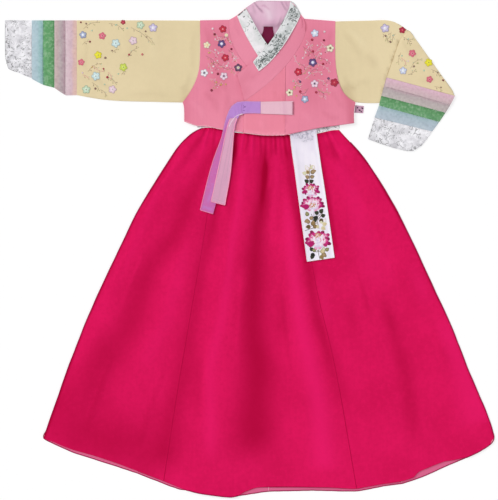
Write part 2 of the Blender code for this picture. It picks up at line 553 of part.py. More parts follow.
def make_ties(under, outer_pieces):
    pink = sheet("tie_band_pink", laid(panel(
        along(TIE_PINK_TOP, even(TIE_PINK_COLUMNS)),
        along([TIE_PINK_TOP[1], TIE_PINK_BOTTOM[1]], even(TIE_PINK_ROWS)),
        along(TIE_PINK_BOTTOM, even(TIE_PINK_COLUMNS)),
        along([TIE_PINK_TOP[0], TIE_PINK_BOTTOM[0]], even(TIE_PINK_ROWS)),
    ), outer_pieces), PALE_PINK)
    rows, across = even(TIE_LILAC_ROWS), even(TIE_COLUMNS)
    left, right = along(TIE_LILAC_OUTER, rows), along(TIE_LILAC_INNER, rows)
    lilac = sheet("tie_lilac", laid(panel(
        along([left[0], right[0]], across), right, along([left[-1], right[-1]], across), left,
    ), under + outer_pieces), LILAC)
    rows = even(TAIL_ROWS)
    left, right = along(TAIL_PINK_LEFT, rows), along(TAIL_PINK_RIGHT, rows)
    tail = sheet("tie_tail_pink", laid(panel(
        along([left[0], right[0]], across), right, along([left[-1], right[-1]], across), left,
    ), under + outer_pieces + [lilac]), PALE_PINK)
    left, right = along(SIDE_TIE_INNER, across), along(SIDE_TIE_OUTER, across)
    side = sheet("side_tie", flat(panel(
        along([left[0], right[0]], across), right, along([left[-1], right[-1]], across), left,
    )), PALE_PINK)
    return pink, lilac, tail, side


# ---- Sleeves ----------------------------------------------------------------------------------
def ring(line, lifts, skin, out=(0, 0), angle=0):
    """The closed section of a flat tube along a line across it: its outer or its inner skin.

    lifts tells how far each place is above the table. Past a crease the section has turned by an
    angle, over the side that out points to.
    """
    first, last = line[1] - line[0], line[-1] - line[-2]
    first, last = first / np.linalg.norm(first), last / np.linalg.norm(last)
    line = np.concatenate([[line[0] + first * skin.start], line[1:-1], [line[-1] - last * skin.start]])
    flat_part = np.concatenate([[line[0] + first * skin.reach], line[1:-1],
                                [line[-1] - last * skin.reach]])
    top, edge = [skin.half] * len(line), [0]
    places = [*flat_part, line[-1], *flat_part[::-1], line[0], flat_part[0]]
    sides = top + edge + [-side for side in top] + edge + top[:1]
    lifts = [*lifts, lifts[-1], *lifts[::-1], lifts[0], lifts[0]]
    turn = radians(angle)
    return [
        (*(place + np.array(out) * (FOLD_RADIUS - side) * sin(turn)),
         lift + HALF_TUBE + FOLD_RADIUS * (1 - cos(turn)) + side * cos(turn))
        for place, side, lift in zip(places, sides, lifts)
    ]


def closed_tube(name, sections, finish):
    """A tube from the arguments of its rings: the outer skin one way, the inner skin back."""
    skin = [ring(*section[:2], OUTER_SKIN, *section[2:]) for section in sections]
    lining = [ring(*section[:2], INNER_SKIN, *section[2:]) for section in reversed(sections)]
    return surface(name, np.array(skin + lining + skin[:1]), finish, encloses)


def trimmed(lines):
    """Lines across a tube, with the seam gap taken off at the first and the last of them."""
    lines = [np.array(line) for line in lines]
    for end, inside in ((0, 1), (-1, -2)):
        way = np.sum(normals(lines[end]) * (lines[inside] - lines[end]))
        lines[end] = shifted(lines[end], np.sign(way) * SEAM_INSET)
    return lines


def tube(name, lines, finish, under=()):
    """A tube on the table or on another that is pressed flat, below any part folded over that."""
    grid = laid(np.array(trimmed(lines)), under, TUBE + GAP / 2)
    return closed_tube(name, [(line[:, :2], line[:, 2]) for line in grid], finish)


def make_stripes(side, seams, cuff_middle, cuff_end, under=()):
    """The four stripes and the cuff, each a short tube between two seams."""
    points = even(STRIPE_POINTS)
    lines = [along(list(seam), points) for seam in seams]
    for name, start, stop in zip(STRIPE_NAMES, lines, lines[1:]):
        tube(f"{name}_{side}", [start, stop], STRIPE_FINISHES[name], under)
    tube(f"cuff_{side}", [lines[-1], along(cuff_middle, points), along(cuff_end, points)],
         STRIPE_FINISHES["cuff"], under)


def make_left_sleeve():
    across, rings = even(ARMHOLE_ROWS), even(SLEEVE_RINGS)
    seam = LEFT_SEAMS[0]
    grid = patch(along(LEFT_TOP, rings), along([seam.top, seam.bottom], across),
                 along(LEFT_BOTTOM, rings), along(ARMHOLE_LEFT, across))
    tube("sleeve_left", grid.transpose(1, 0, 2), YELLOW)
    make_stripes("left", LEFT_SEAMS, LEFT_CUFF_MIDDLE, LEFT_CUFF_END)


def make_right_sleeve():
    """Flat from the armhole to the crease, over the crease, and back on top of itself."""
    across = even(ARMHOLE_ROWS)
    seam = RIGHT_SEAMS[0]
    crease = along(CREASE, across)
    upper = patch(along(RIGHT_TOP, even(RIGHT_RINGS)), crease,
                  along(RIGHT_BOTTOM, even(RIGHT_RINGS)), along(ARMHOLE_RIGHT, across))
    forearm = patch(along(FOREARM_TOP, even(FOREARM_RINGS)), along([seam.top, seam.bottom], across),
                    along(FOREARM_BOTTOM, even(FOREARM_RINGS)), crease)
    on_table = np.zeros(len(crease))
    upper = trimmed(upper.transpose(1, 0, 2))[:-1]
    forearm = trimmed(forearm.transpose(1, 0, 2))[1:]
    out = tuple(normals(crease)[0])
    sections = [(line, on_table) for line in upper]
    sections += [(crease, on_table, out, angle) for angle in CREASE_ANGLES]
    sections += [(line, on_table, out, CREASE_ANGLES[-1]) for line in forearm]
    sleeve = closed_tube("sleeve_right", sections, YELLOW)
    make_stripes("right", RIGHT_SEAMS, RIGHT_CUFF_MIDDLE, RIGHT_CUFF_END, [sleeve])


# ---- The garment ------------------------------------------------------------------------------
def centre(pieces):
    """Moves the garment so that the middle of its outline is at the origin."""
    bpy.context.view_layer.update()
    graph = bpy.context.evaluated_depsgraph_get()
    corners = np.array([corner[:] for p in pieces for corner in p.evaluated_get(graph).bound_box])
    middle = (corners.min(axis=0) + corners.max(axis=0)) / 2
    for piece in pieces:
        for vertex in piece.data.vertices:
            vertex.co -= Vector((middle[0], middle[1], 0))


for old in list(bpy.data.objects):
    bpy.data.objects.remove(old, do_unlink=True)
garment = bpy.data.collections.new("hanbok")
bpy.context.scene.collection.children.link(garment)

skirt = make_skirt()
band = make_waistband()
hanging = [make_sash([*skirt, band])]
lower_pieces = [*skirt, band, *hanging]
jacket_back, back_of_collar, front_left = make_body(lower_pieces)
lining_piece, collar_piece, strip_piece, label_piece = make_neck([jacket_back, back_of_collar])
outer = make_outer_front(lower_pieces + [jacket_back, back_of_collar, front_left, collar_piece,
                                         strip_piece])
make_ties(lower_pieces + [front_left], list(outer))
make_left_sleeve()
make_right_sleeve()
centre(list(garment.objects))
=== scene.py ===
import math

import bmesh
import bpy
import numpy as np
from mathutils import Matrix, Vector
from mathutils.bvhtree import BVHTree


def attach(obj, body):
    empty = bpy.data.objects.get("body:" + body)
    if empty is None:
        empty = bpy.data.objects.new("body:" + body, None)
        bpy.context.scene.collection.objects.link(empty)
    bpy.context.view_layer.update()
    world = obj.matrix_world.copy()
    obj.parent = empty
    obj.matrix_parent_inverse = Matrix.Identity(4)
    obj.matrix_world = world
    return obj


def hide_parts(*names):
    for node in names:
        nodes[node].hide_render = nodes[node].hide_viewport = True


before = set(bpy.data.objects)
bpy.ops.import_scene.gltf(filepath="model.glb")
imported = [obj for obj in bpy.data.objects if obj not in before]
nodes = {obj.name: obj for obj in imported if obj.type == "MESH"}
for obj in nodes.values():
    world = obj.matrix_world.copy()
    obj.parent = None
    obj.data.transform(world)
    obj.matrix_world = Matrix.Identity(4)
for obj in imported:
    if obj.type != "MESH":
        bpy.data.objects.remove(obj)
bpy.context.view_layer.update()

# Places in this file are millimetres from the middle of the garment, +Y towards the collar.
mm = 0.001

studio = {
    "cameraPlace": (-0.0020, -0.0024, 3.0),
    "lens": 113.7,
    "background": (1.0, 1.0, 1.0),
    "backgroundStrength": 0.32,
    "floorColour": (0.40, 0.40, 0.403),
    "floorGrain": 0.99,
    "floorGlow": 0.59,
    "floorSize": 24.0,
    "floorHeight": -0.0004,
    # where the light comes from, strength, softness in degrees, warmth
    "lamps": [
        ("keyLamp", (-1.0, 0.6, 1.0), 1.85, 30, (1.0, 0.985, 0.97)),
        ("fillLamp", (0.7, -1.0, 1.1), 0.55, 50, (0.97, 0.98, 1.0)),
        ("topLamp", (0.1, 0.2, 3.0), 0.7, 50, (1.0, 1.0, 1.0)),
    ],
}


def setUpStudio():
    scene = bpy.context.scene
    scene.view_settings.view_transform = "Standard"
    lens = bpy.data.cameras.new("camera")
    lens.lens = studio["lens"]
    lens.sensor_width = 36
    lens.clip_end = 50
    camera = bpy.data.objects.new("camera", lens)
    camera.location = studio["cameraPlace"]
    scene.collection.objects.link(camera)
    scene.camera = camera
    for name, source, strength, softness, colour in studio["lamps"]:
        lamp = bpy.data.lights.new(name, "SUN")
        lamp.angle = math.radians(softness)
        lamp.energy = strength
        lamp.color = colour
        holder = bpy.data.objects.new(name, lamp)
        holder.location = source
        holder.rotation_euler = Vector(source).to_track_quat("Z", "Y").to_euler()
        scene.collection.objects.link(holder)
    world = bpy.data.worlds.new("studio")
    world.use_nodes = True
    sky = world.node_tree.nodes["Background"]
    sky.inputs["Color"].default_value = (*studio["background"], 1)
    sky.inputs["Strength"].default_value = studio["backgroundStrength"]
    scene.world = world


# how many clouds, slubs, flecks or scribbles a finish has in a metre
grain = {
    "cloud": 9.0, "slub": 260.0, "fine": 150.0, "stripeCloud": 45.0, "stripeShine": 220.0, "speck": 210.0,
    "satinCloud": 38.0, "satinFine": 500.0, "satinScribble": 95.0, "fleck": 900.0, "floor": 600.0,
}
# thickness of the threads in each cloth and how high they stand, in metres
weaves = {"stripe": (0.0006, 0.0002), "brocade": (0.0005, 0.0002), "satin": (0.0004, 0.0001)}
waveLength = 0.314   # of Blender's band wave at scale 1
strayShare = 0.35    # how far a thread strays, as a share of its thickness


# The next few functions are short ways to add the nodes that every finish uses.
def addNode(tree, kind, inputs=None, **options):
    made = tree.nodes.new("ShaderNode" + kind)
    for key, value in options.items():
        setattr(made, key, value)
    for key, value in (inputs or {}).items():
        if isinstance(value, bpy.types.NodeSocket):
            tree.links.new(value, made.inputs[key])
        else:
            made.inputs[key].default_value = value
    return made


def calculate(tree, operation, first, second=0.0, clamp=False):
    return addNode(tree, "Math", {0: first, 1: second}, operation=operation, use_clamp=clamp).outputs[0]


def times(tree, first, second):
    return calculate(tree, "MULTIPLY", first, second)


def minus(tree, first, second, clamp=False):
    return calculate(tree, "SUBTRACT", first, second, clamp)


def mixColours(tree, share, first, second, blend="MIX"):
    first = (*first, 1) if isinstance(first, tuple) else first
    second = (*second, 1) if isinstance(second, tuple) else second
    made = addNode(tree, "Mix", {0: share, 6: first, 7: second}, data_type="RGBA", blend_type=blend)
    return made.outputs[2]


# Lays colours over one another, each one a share of it, its colour and perhaps how it blends.
def overlay(tree, colour, *layers):
    for share, above, *blend in layers:
        colour = mixColours(tree, share, colour, above, *blend)
    return colour


def spread(tree, value, low, high, newLow=0.0, newHigh=1.0):
    return addNode(tree, "MapRange", {0: value, 1: low, 2: high, 3: newLow, 4: newHigh}).outputs[0]


def noise(tree, place, scale, detail, output="Fac"):
    return addNode(tree, "TexNoise", {"Vector": place, "Scale": scale, "Detail": detail}).outputs[output]


def ribs(tree, place, scale, way="X", bent=0.0):
    inputs = {"Vector": place, "Scale": scale, "Distortion": bent}
    return addNode(tree, "TexWave", inputs, wave_type="BANDS", bands_direction=way).outputs["Fac"]


def ownPlace(tree):
    return addNode(tree, "TexCoord").outputs["Object"]


def turned(tree, spot, turn=0.0, scale=(1.0, 1.0, 1.0)):
    inputs = {"Vector": spot, "Rotation": (0, 0, turn), "Scale": scale}
    return addNode(tree, "Mapping", inputs).outputs[0]


def ownMark(tree, name, output="Fac"):
    return addNode(tree, "Attribute", attribute_name=name).outputs[output]


def startFinish(name, roughness, sheen=0.0, sheenTint=(1, 1, 1), gloss=0.2, glossTint=(1, 1, 1)):
    material = bpy.data.materials.new(name)
    material.use_nodes = True
    shader = material.node_tree.nodes["Principled BSDF"]
    shader.inputs["Roughness"].default_value = roughness
    shader.inputs["Sheen Weight"].default_value = sheen
    shader.inputs["Sheen Roughness"].default_value = 0.4
    shader.inputs["Sheen Tint"].default_value = (*sheenTint, 1)
    shader.inputs["Specular IOR Level"].default_value = gloss
    shader.inputs["Specular Tint"].default_value = (*glossTint, 1)
    return material, material.node_tree, shader


def setColour(tree, shader, colour, roughness=None):
    tree.links.new(colour, shader.inputs["Base Color"])
    if roughness:
        tree.links.new(roughness, shader.inputs["Roughness"])


def addRelief(tree, shader, height, strength, distance):
    bump = addNode(tree, "Bump", {"Height": height, "Strength": strength, "Distance": distance})
    tree.links.new(bump.outputs[0], shader.inputs["Normal"])


# Crossing threads, some thicker than others.
def wovenHeight(tree, spot, thread):
    scale = waveLength / thread
    shift = times(tree, minus(tree, noise(tree, spot, 0.09 * scale, 2.0), 0.5), thread * strayShare)
    shift = addNode(tree, "CombineXYZ", {0: shift, 1: shift, 2: shift}).outputs[0]
    bent = addNode(tree, "VectorMath", {0: spot, 1: shift}, operation="ADD").outputs[0]
    return calculate(tree, "MAXIMUM", ribs(tree, bent, scale, "X"), ribs(tree, bent, scale, "Y"))


# Lines that wander like a scribble: 1 on a line, falling to 0 beside it.
def scribbled(tree, spot, scale, detail, closeness, width):
    waves = times(tree, noise(tree, spot, scale, detail), closeness)
    waves = calculate(tree, "ABSOLUTE", calculate(tree, "SINE", waves))
    return minus(tree, 1.0, calculate(tree, "DIVIDE", waves, width), clamp=True)


# Thin plain-woven silk: light and dark are the cloth itself, the third colour is the painted shade it
# turns to where the crease tone is positive, a whitened light colour is the painted highlight where
# it is negative, over is a second colour that it runs into between two heights, and inside is the
# inner face of a tube.
def organza(name, light, dark, deep, thread=0.0007, turn=0.0, mottle=0.5, sheen=0.12, gloss=0.12,
            glossTint=(1, 1, 1), relief=0.2, streak=0.25, cloudy=0.2, over=None, inside=None):
    material, tree, shader = startFinish(name, 0.62, sheen, light, gloss, glossTint)
    spot = turned(tree, ownPlace(tree), math.radians(turn))
    weave = wovenHeight(tree, spot, thread)
    slubs = noise(tree, turned(tree, spot, scale=(1.0, 0.06, 1.0)), grain["slub"], 2.0)
    cloud = times(tree, noise(tree, spot, grain["cloud"], 3.0), 1 - streak)
    patchy = calculate(tree, "ADD", cloud, times(tree, slubs, streak))
    share = spread(tree, patchy, 0.35, 0.65, 0.5 - mottle / 2, 0.5 + mottle / 2)
    colour = mixColours(tree, share, light, dark)
    if over:
        high, low, below = over
        height = addNode(tree, "SeparateXYZ", {0: ownPlace(tree)}).outputs[1]
        colour = mixColours(tree, spread(tree, height, high * mm, low * mm), colour, below)
    gaps = times(tree, minus(tree, 1.0, weave), 0.16)   # a little darker between the threads
    fine = noise(tree, spot, grain["fine"], 3.0)
    fold = ownMark(tree, "fold")
    # painted highlight on ridges, and painted shade in creases in the third colour
    paintedHighlightColour = mixColours(tree, 0.35, light, (1.0, 1.0, 1.0), "SOFT_LIGHT")
    colour = overlay(tree, colour, (gaps, dark),
                     (spread(tree, fine, 0.5, 0.75, 0.0, cloudy), light),
                     (spread(tree, fine, 0.5, 0.25, 0.0, cloudy), dark),
                     (spread(tree, fold, 0.0, 1.0), deep), (spread(tree, fold, 0.0, -1.0), paintedHighlightColour))
    if inside:
        colour = mixColours(tree, ownMark(tree, "inside"), colour, inside)
    setColour(tree, shader, colour, spread(tree, fine, 0.3, 0.7, 0.54, 0.70))
    addRelief(tree, shader, weave, relief, thread * 0.3)
    return material


# A satin stripe whose colour runs from start to end, two points across it, through bands.
def stripeFinish(name, start, end, bands, glitter):
    material, tree, shader = startFinish(name, 0.5, 0.1, bands[0][1], 0.2)
    spot = ownPlace(tree)
    parts = addNode(tree, "SeparateXYZ", {0: spot})
    way = [(end[k] - start[k]) * mm for k in (0, 1)]
    off = [times(tree, minus(tree, parts.outputs[k], start[k] * mm), way[k]) for k in (0, 1)]
    across = calculate(tree, "DIVIDE", calculate(tree, "ADD", *off), way[0] ** 2 + way[1] ** 2)
    cloud = spread(tree, noise(tree, spot, grain["stripeCloud"], 2.0), 0.3, 0.7, -0.08, 0.08)
    ramp = addNode(tree, "ValToRGB", {0: calculate(tree, "ADD", across, cloud)})
    while len(ramp.color_ramp.elements) < len(bands):
        ramp.color_ramp.elements.new(0.5)
    for element, (at, colour) in zip(ramp.color_ramp.elements, bands):
        element.position = at
        element.color = (*colour, 1)
    shine = spread(tree, noise(tree, spot, grain["stripeShine"], 3.0), 0.4, 0.75, 0.0, 0.22)
    specks = noise(tree, spot, grain["speck"], 3.0)
    # painted shade in the stripes' creases, multiplied in
    fold = spread(tree, ownMark(tree, "fold"), 0.0, 1.0, 0.0, 0.6)
    setColour(tree, shader, overlay(
        tree, ramp.outputs[0], (shine, (0.95, 0.95, 0.95), "SOFT_LIGHT"),
        (spread(tree, specks, 0.5, 0.72, 0.0, glitter), (0.75, 0.80, 0.72)),
        (spread(tree, specks, 0.48, 0.30, 0.0, glitter * 1.2), (0.25, 0.28, 0.25), "MULTIPLY"),
        (fold, (0.35, 0.32, 0.33), "MULTIPLY")))
    threads = turned(tree, spot, -math.atan2(way[1], way[0]))
    thread, relief = weaves["stripe"]
    addRelief(tree, shader, wovenHeight(tree, threads, thread), 0.25, relief)
    return material


# White satin with grey scribbles woven into it; where the crease tone is strong they are closer, and
# darker as painted shade, and the ground is greyed towards them as painted shade too.
def brocade(name, ground, shadow, thread, deep, amount, scroll, turn=0.0, thick=1.0, cloudy=55.0):
    material, tree, shader = startFinish(name, 0.36, 0.1, (1, 1, 1), 0.4)
    spot = turned(tree, ownPlace(tree), math.radians(turn))
    fold = ownMark(tree, "fold")
    sway = noise(tree, spot, scroll * 0.7, 1.0, "Color")
    sway = addNode(tree, "VectorMath", {0: sway, 1: (0.5, 0.5, 0.5)}, operation="SUBTRACT").outputs[0]
    sway = addNode(tree, "VectorMath", {0: sway, 3: 0.012}, operation="SCALE").outputs[0]
    swayed = addNode(tree, "VectorMath", {0: spot, 1: sway}, operation="ADD").outputs[0]
    width = spread(tree, noise(tree, spot, scroll * 1.6, 1.0), 0.40, 0.62, 0.02, 0.85 * thick)
    lines = spread(tree, scribbled(tree, swayed, scroll, 0.6, 15.0, width), 0.0, 0.4)
    patches = calculate(tree, "ADD", noise(tree, spot, scroll * 0.35, 1.0), times(tree, fold, 0.5))
    where = spread(tree, patches, 0.60 - amount * 0.3, 0.66 - amount * 0.2, 0.12, 1.0)
    drawn = times(tree, lines, where)
    shine = spread(tree, noise(tree, swayed, cloudy, 4.0), 0.38, 0.66)
    silk = mixColours(tree, spread(tree, fold, 0.1, 0.7), thread, deep)
    colour = overlay(tree, ground, (shine, shadow), (spread(tree, fold, 0.0, 1.0, 0.0, 0.3), thread),
                     (times(tree, drawn, 0.9), silk))
    setColour(tree, shader, colour, spread(tree, drawn, 0.0, 1.0, 0.3, 0.6))
    fineness, relief = weaves["brocade"]
    height = calculate(tree, "ADD", wovenHeight(tree, spot, fineness), times(tree, drawn, -1.5))
    addRelief(tree, shader, height, 0.4, relief)
    return material


# Smooth satin, with its tone drawn out along the grain.
def satin(name, light, dark, deep, turn=0.0, scribble=None):
    material, tree, shader = startFinish(name, 0.38, 0.1, light, 0.4)
    spot = turned(tree, ownPlace(tree), math.radians(turn))
    long = turned(tree, spot, scale=(1.0, 0.25, 1.0))
    fine = noise(tree, long, grain["satinFine"], 2.0)
    cloud = noise(tree, long, grain["satinCloud"], 3.0)
    fold = ownMark(tree, "fold")
    # the crease tone gives painted shade in creases (the third colour) and a near-white painted highlight on
    # ridges
    colour = overlay(tree, light, (spread(tree, cloud, 0.32, 0.68), dark),
                     (spread(tree, fine, 0.4, 0.8, 0.0, 0.3), light),
                     (spread(tree, fold, 0.0, 1.0), deep), (spread(tree, fold, 0.0, -1.0), (1.0, 0.98, 1.0)))
    if scribble:
        lines = scribbled(tree, spot, grain["satinScribble"], 1.0, 14.0, 0.5)
        drawn = times(tree, lines, spread(tree, fold, 0.17, 0.3, 0.0, 0.85))
        colour = mixColours(tree, drawn, colour, scribble)
    setColour(tree, shader, colour, spread(tree, fine, 0.3, 0.7, 0.32, 0.48))
    thread, relief = weaves["satin"]
    addRelief(tree, shader, wovenHeight(tree, spot, thread), 0.15, relief)
    return material


# Embroidery silk and sequins, coloured by the piece's own tint.
def threadFinish(name, roughness=0.5, gloss=0.2, strands=700.0, sheen=0.05, flecks=0.15):
    material, tree, shader = startFinish(name, roughness, sheen, (1, 1, 1), gloss)
    spot = ownPlace(tree)
    ribbed = ribs(tree, turned(tree, spot, 0.7), strands, bent=1.5)
    fleck = spread(tree, noise(tree, spot, grain["fleck"], 1.0), 0.45, 0.75, 0.0, flecks)
    tint = ownMark(tree, "tint", "Color")
    setColour(tree, shader, overlay(tree, tint, (fleck, (1.0, 1.0, 1.0), "SOFT_LIGHT"),
                                    (times(tree, ribbed, 0.25), (0.3, 0.25, 0.28), "MULTIPLY")))
    addRelief(tree, shader, ribbed, 0.3, 0.0001)
    return material


def floorFinish():
    material, tree, shader = startFinish("floorPaper", 0.9, gloss=0.05)
    low = tuple(part * studio["floorGrain"] for part in studio["floorColour"])
    specks = noise(tree, ownPlace(tree), grain["floor"], 2.0)
    setColour(tree, shader, mixColours(tree, specks, studio["floorColour"], low))
    shader.inputs["Emission Color"].default_value = (1.0, 1.0, 1.0, 1.0)
    shader.inputs["Emission Strength"].default_value = studio["floorGlow"]
    return material


def makeFinishes():
    crimsonGloss = {"gloss": 0.05, "glossTint": (0.9, 0.1, 0.25), "sheen": 0.03}
    hemGloss = {"thread": 0.0006, "gloss": 0.05, "glossTint": (0.9, 0.2, 0.3), "sheen": 0.0}
    return {
        "skirt": organza("crimsonOrganza", (0.73, 0.009, 0.108), (0.59, 0.006, 0.077), (0.36, 0.001, 0.028),
                         thread=0.0008, mottle=0.7, relief=0.3, streak=0.15, cloudy=0.5,
                         inside=(0.66, 0.13, 0.26), **crimsonGloss),
        "jacket": organza("roseOrganza", (0.82, 0.262, 0.372), (0.73, 0.21, 0.315), (0.52, 0.10, 0.16),
                          mottle=0.7, gloss=0.1),
        "overlap": organza("roseOverlap", (0.83, 0.252, 0.355), (0.75, 0.212, 0.30), (0.58, 0.12, 0.17),
                           mottle=0.6, gloss=0.1),
        "collar": organza("roseCollar", (0.81, 0.268, 0.378), (0.74, 0.235, 0.34), (0.54, 0.11, 0.18),
                          turn=35.0, mottle=0.6),
        "sleeve": organza("yellowOrganza", (0.78, 0.655, 0.415), (0.68, 0.565, 0.345), (0.46, 0.35, 0.20),
                          gloss=0.08, streak=0.1),
        "lining": satin("pinkLining", (0.74, 0.46, 0.60), (0.60, 0.34, 0.48), (0.26, 0.13, 0.20)),
        "silver": brocade("silverBrocade", (0.80, 0.80, 0.82), (0.52, 0.55, 0.55), (0.24, 0.28, 0.27),
                          (0.05, 0.07, 0.065), amount=0.5, scroll=125.0, turn=-35.0, thick=1.2),
        "silverPale": brocade("paleBrocade", (0.84, 0.81, 0.84), (0.64, 0.66, 0.66), (0.46, 0.50, 0.48),
                              (0.08, 0.10, 0.10), amount=0.15, scroll=90.0, turn=30.0, thick=0.8),
        "cuff": brocade("cuffBrocade", (0.90, 0.89, 0.93), (0.60, 0.59, 0.63), (0.36, 0.36, 0.38),
                        (0.08, 0.08, 0.08), amount=0.8, scroll=120.0, thick=0.85, cloudy=75.0),
        "band": brocade("bandBrocade", (0.92, 0.91, 0.94), (0.74, 0.73, 0.76), (0.34, 0.33, 0.37),
                        (0.12, 0.11, 0.14), amount=0.7, scroll=120.0),
        "sash": satin("sashSatin", (0.85, 0.80, 0.89), (0.72, 0.67, 0.80), (0.30, 0.28, 0.38), turn=-7.0,
                      scribble=(0.27, 0.26, 0.34)),
        "label": organza("labelWeave", (0.20, 0.008, 0.055), (0.14, 0.004, 0.036), (0.05, 0.001, 0.012),
                         thread=0.0009, relief=0.5),
        "lilac": organza("lilacOrganza", (0.51, 0.265, 0.64), (0.42, 0.205, 0.57), (0.46, 0.24, 0.62),
                         thread=0.0006, turn=20.0, mottle=0.7, gloss=0.15, cloudy=0.35,
                         over=(252, 222, (0.58, 0.13, 0.385))),
        "palePink": organza("palePinkOrganza", (0.80, 0.50, 0.59), (0.71, 0.42, 0.53), (0.56, 0.26, 0.40),
                            thread=0.0006, mottle=0.6, gloss=0.15),
        "palePinkTail": organza("palePinkTail", (0.73, 0.395, 0.53), (0.60, 0.31, 0.46), (0.50, 0.20, 0.36),
                                thread=0.0006, turn=12.0, mottle=0.8),
        "mauve": organza("mauveRibbon", (0.60, 0.36, 0.48), (0.42, 0.22, 0.33), (0.12, 0.05, 0.10),
                         thread=0.0006, mottle=1.0),
        "thread": threadFinish("embroiderySilk"),
        "sequin": threadFinish("sequins", 0.3, 0.35, 150.0, 0.0, 0.2),
        "hemSilk": organza("hemSilk", (0.46, 0.005, 0.06), (0.34, 0.003, 0.04), (0.2, 0.001, 0.02),
                           **hemGloss),
        "seamSilk": organza("seamSilk", (0.50, 0.004, 0.06), (0.40, 0.003, 0.045), (0.1, 0.001, 0.01),
                            **{**hemGloss, "gloss": 0.03}),
        # the dark skirt edge: a rolled hem along the bottom, painted shade where the sides turn under
        "crimsonEdge": organza("rolledHemAndSideShade", (0.33, 0.004, 0.066), (0.27, 0.003, 0.053), (0.12, 0.0, 0.025),
                               **hemGloss),
    }


# The stripes of a sleeve: two points across each, from the sleeve side to the cuff side, and the
# colours between them.
stripes = {
    "left": {
        "stripe_pink": ((-329, 360), (-350.5, 360), [
            (0, (0.68, 0.44, 0.38)), (0.28, (0.66, 0.43, 0.41)), (0.45, (0.62, 0.43, 0.49)),
            (1, (0.66, 0.5, 0.55))]),
        "stripe_mauve": ((-350.5, 360), (-371.5, 360), [
            (0, (0.39, 0.24, 0.29)), (0.2, (0.41, 0.29, 0.33)), (0.45, (0.42, 0.34, 0.36)),
            (0.8, (0.5, 0.37, 0.37)), (1, (0.55, 0.43, 0.42))]),
        "stripe_green": ((-371.5, 360), (-393.5, 360), [
            (0, (0.075, 0.23, 0.085)), (0.35, (0.105, 0.31, 0.12)), (0.85, (0.12, 0.34, 0.14)),
            (1, (0.08, 0.25, 0.15))]),
        "stripe_blue": ((-393.5, 360), (-414.5, 360), [
            (0, (0.25, 0.44, 0.45)), (0.3, (0.31, 0.49, 0.51)), (0.55, (0.39, 0.53, 0.59)),
            (1, (0.43, 0.55, 0.62))]),
    },
    "right": {
        "stripe_pink": ((323, 308), (318.5, 291.4), [
            (0, (0.68, 0.42, 0.54)), (0.5, (0.61, 0.41, 0.47)), (1, (0.55, 0.4, 0.43))]),
        "stripe_mauve": ((318.5, 291.4), (313.4, 272.9), [
            (0, (0.42, 0.29, 0.33)), (0.3, (0.43, 0.36, 0.37)), (1, (0.47, 0.42, 0.4))]),
        "stripe_green": ((313, 273.7), (308.2, 255.3), [
            (0, (0.08, 0.24, 0.09)), (0.4, (0.115, 0.3, 0.125)), (1, (0.12, 0.31, 0.14))]),
        "stripe_blue": ((308.2, 255.3), (302, 231.8), [
            (0, (0.28, 0.42, 0.45)), (0.35, (0.38, 0.47, 0.54)), (1, (0.44, 0.51, 0.59))]),
    },
}
stripeGlitter = {"stripe_pink": 0.14, "stripe_mauve": 0.14, "stripe_green": 0.22, "stripe_blue": 0.14}


def ease(share):
    share = np.clip(share, 0, 1)
    return share * share * (3 - 2 * share)


# Every layer is lifted by the same creases, so none cuts through another. This tells how strongly
# one acts at these places: 1 on its line, 0 away from it.
def creaseShare(places, points, firstWidth, lastWidth, startFade, endFade):
    steps = np.diff(points, axis=0)
    lengths = np.linalg.norm(steps, axis=1)
    starts = np.concatenate([[0], np.cumsum(lengths)])
    nearest = np.full(len(places), 1e9)
    course = np.zeros(len(places))
    for point, step, length, start in zip(points, steps, lengths, starts):
        along = np.clip(((places - point) @ step) / length ** 2, 0, 1)
        away = np.linalg.norm(places - point - along[:, None] * step, axis=1)
        closer = away < nearest
        nearest = np.where(closer, away, nearest)
        course = np.where(closer, start + along * length, course)
    course /= starts[-1]
    share = np.exp(-(nearest / (firstWidth + (lastWidth - firstWidth) * course)) ** 2)
    if startFade:
        share *= ease(course / startFade)
    if endFade:
        share *= ease((1 - course) / endFade)
    return share
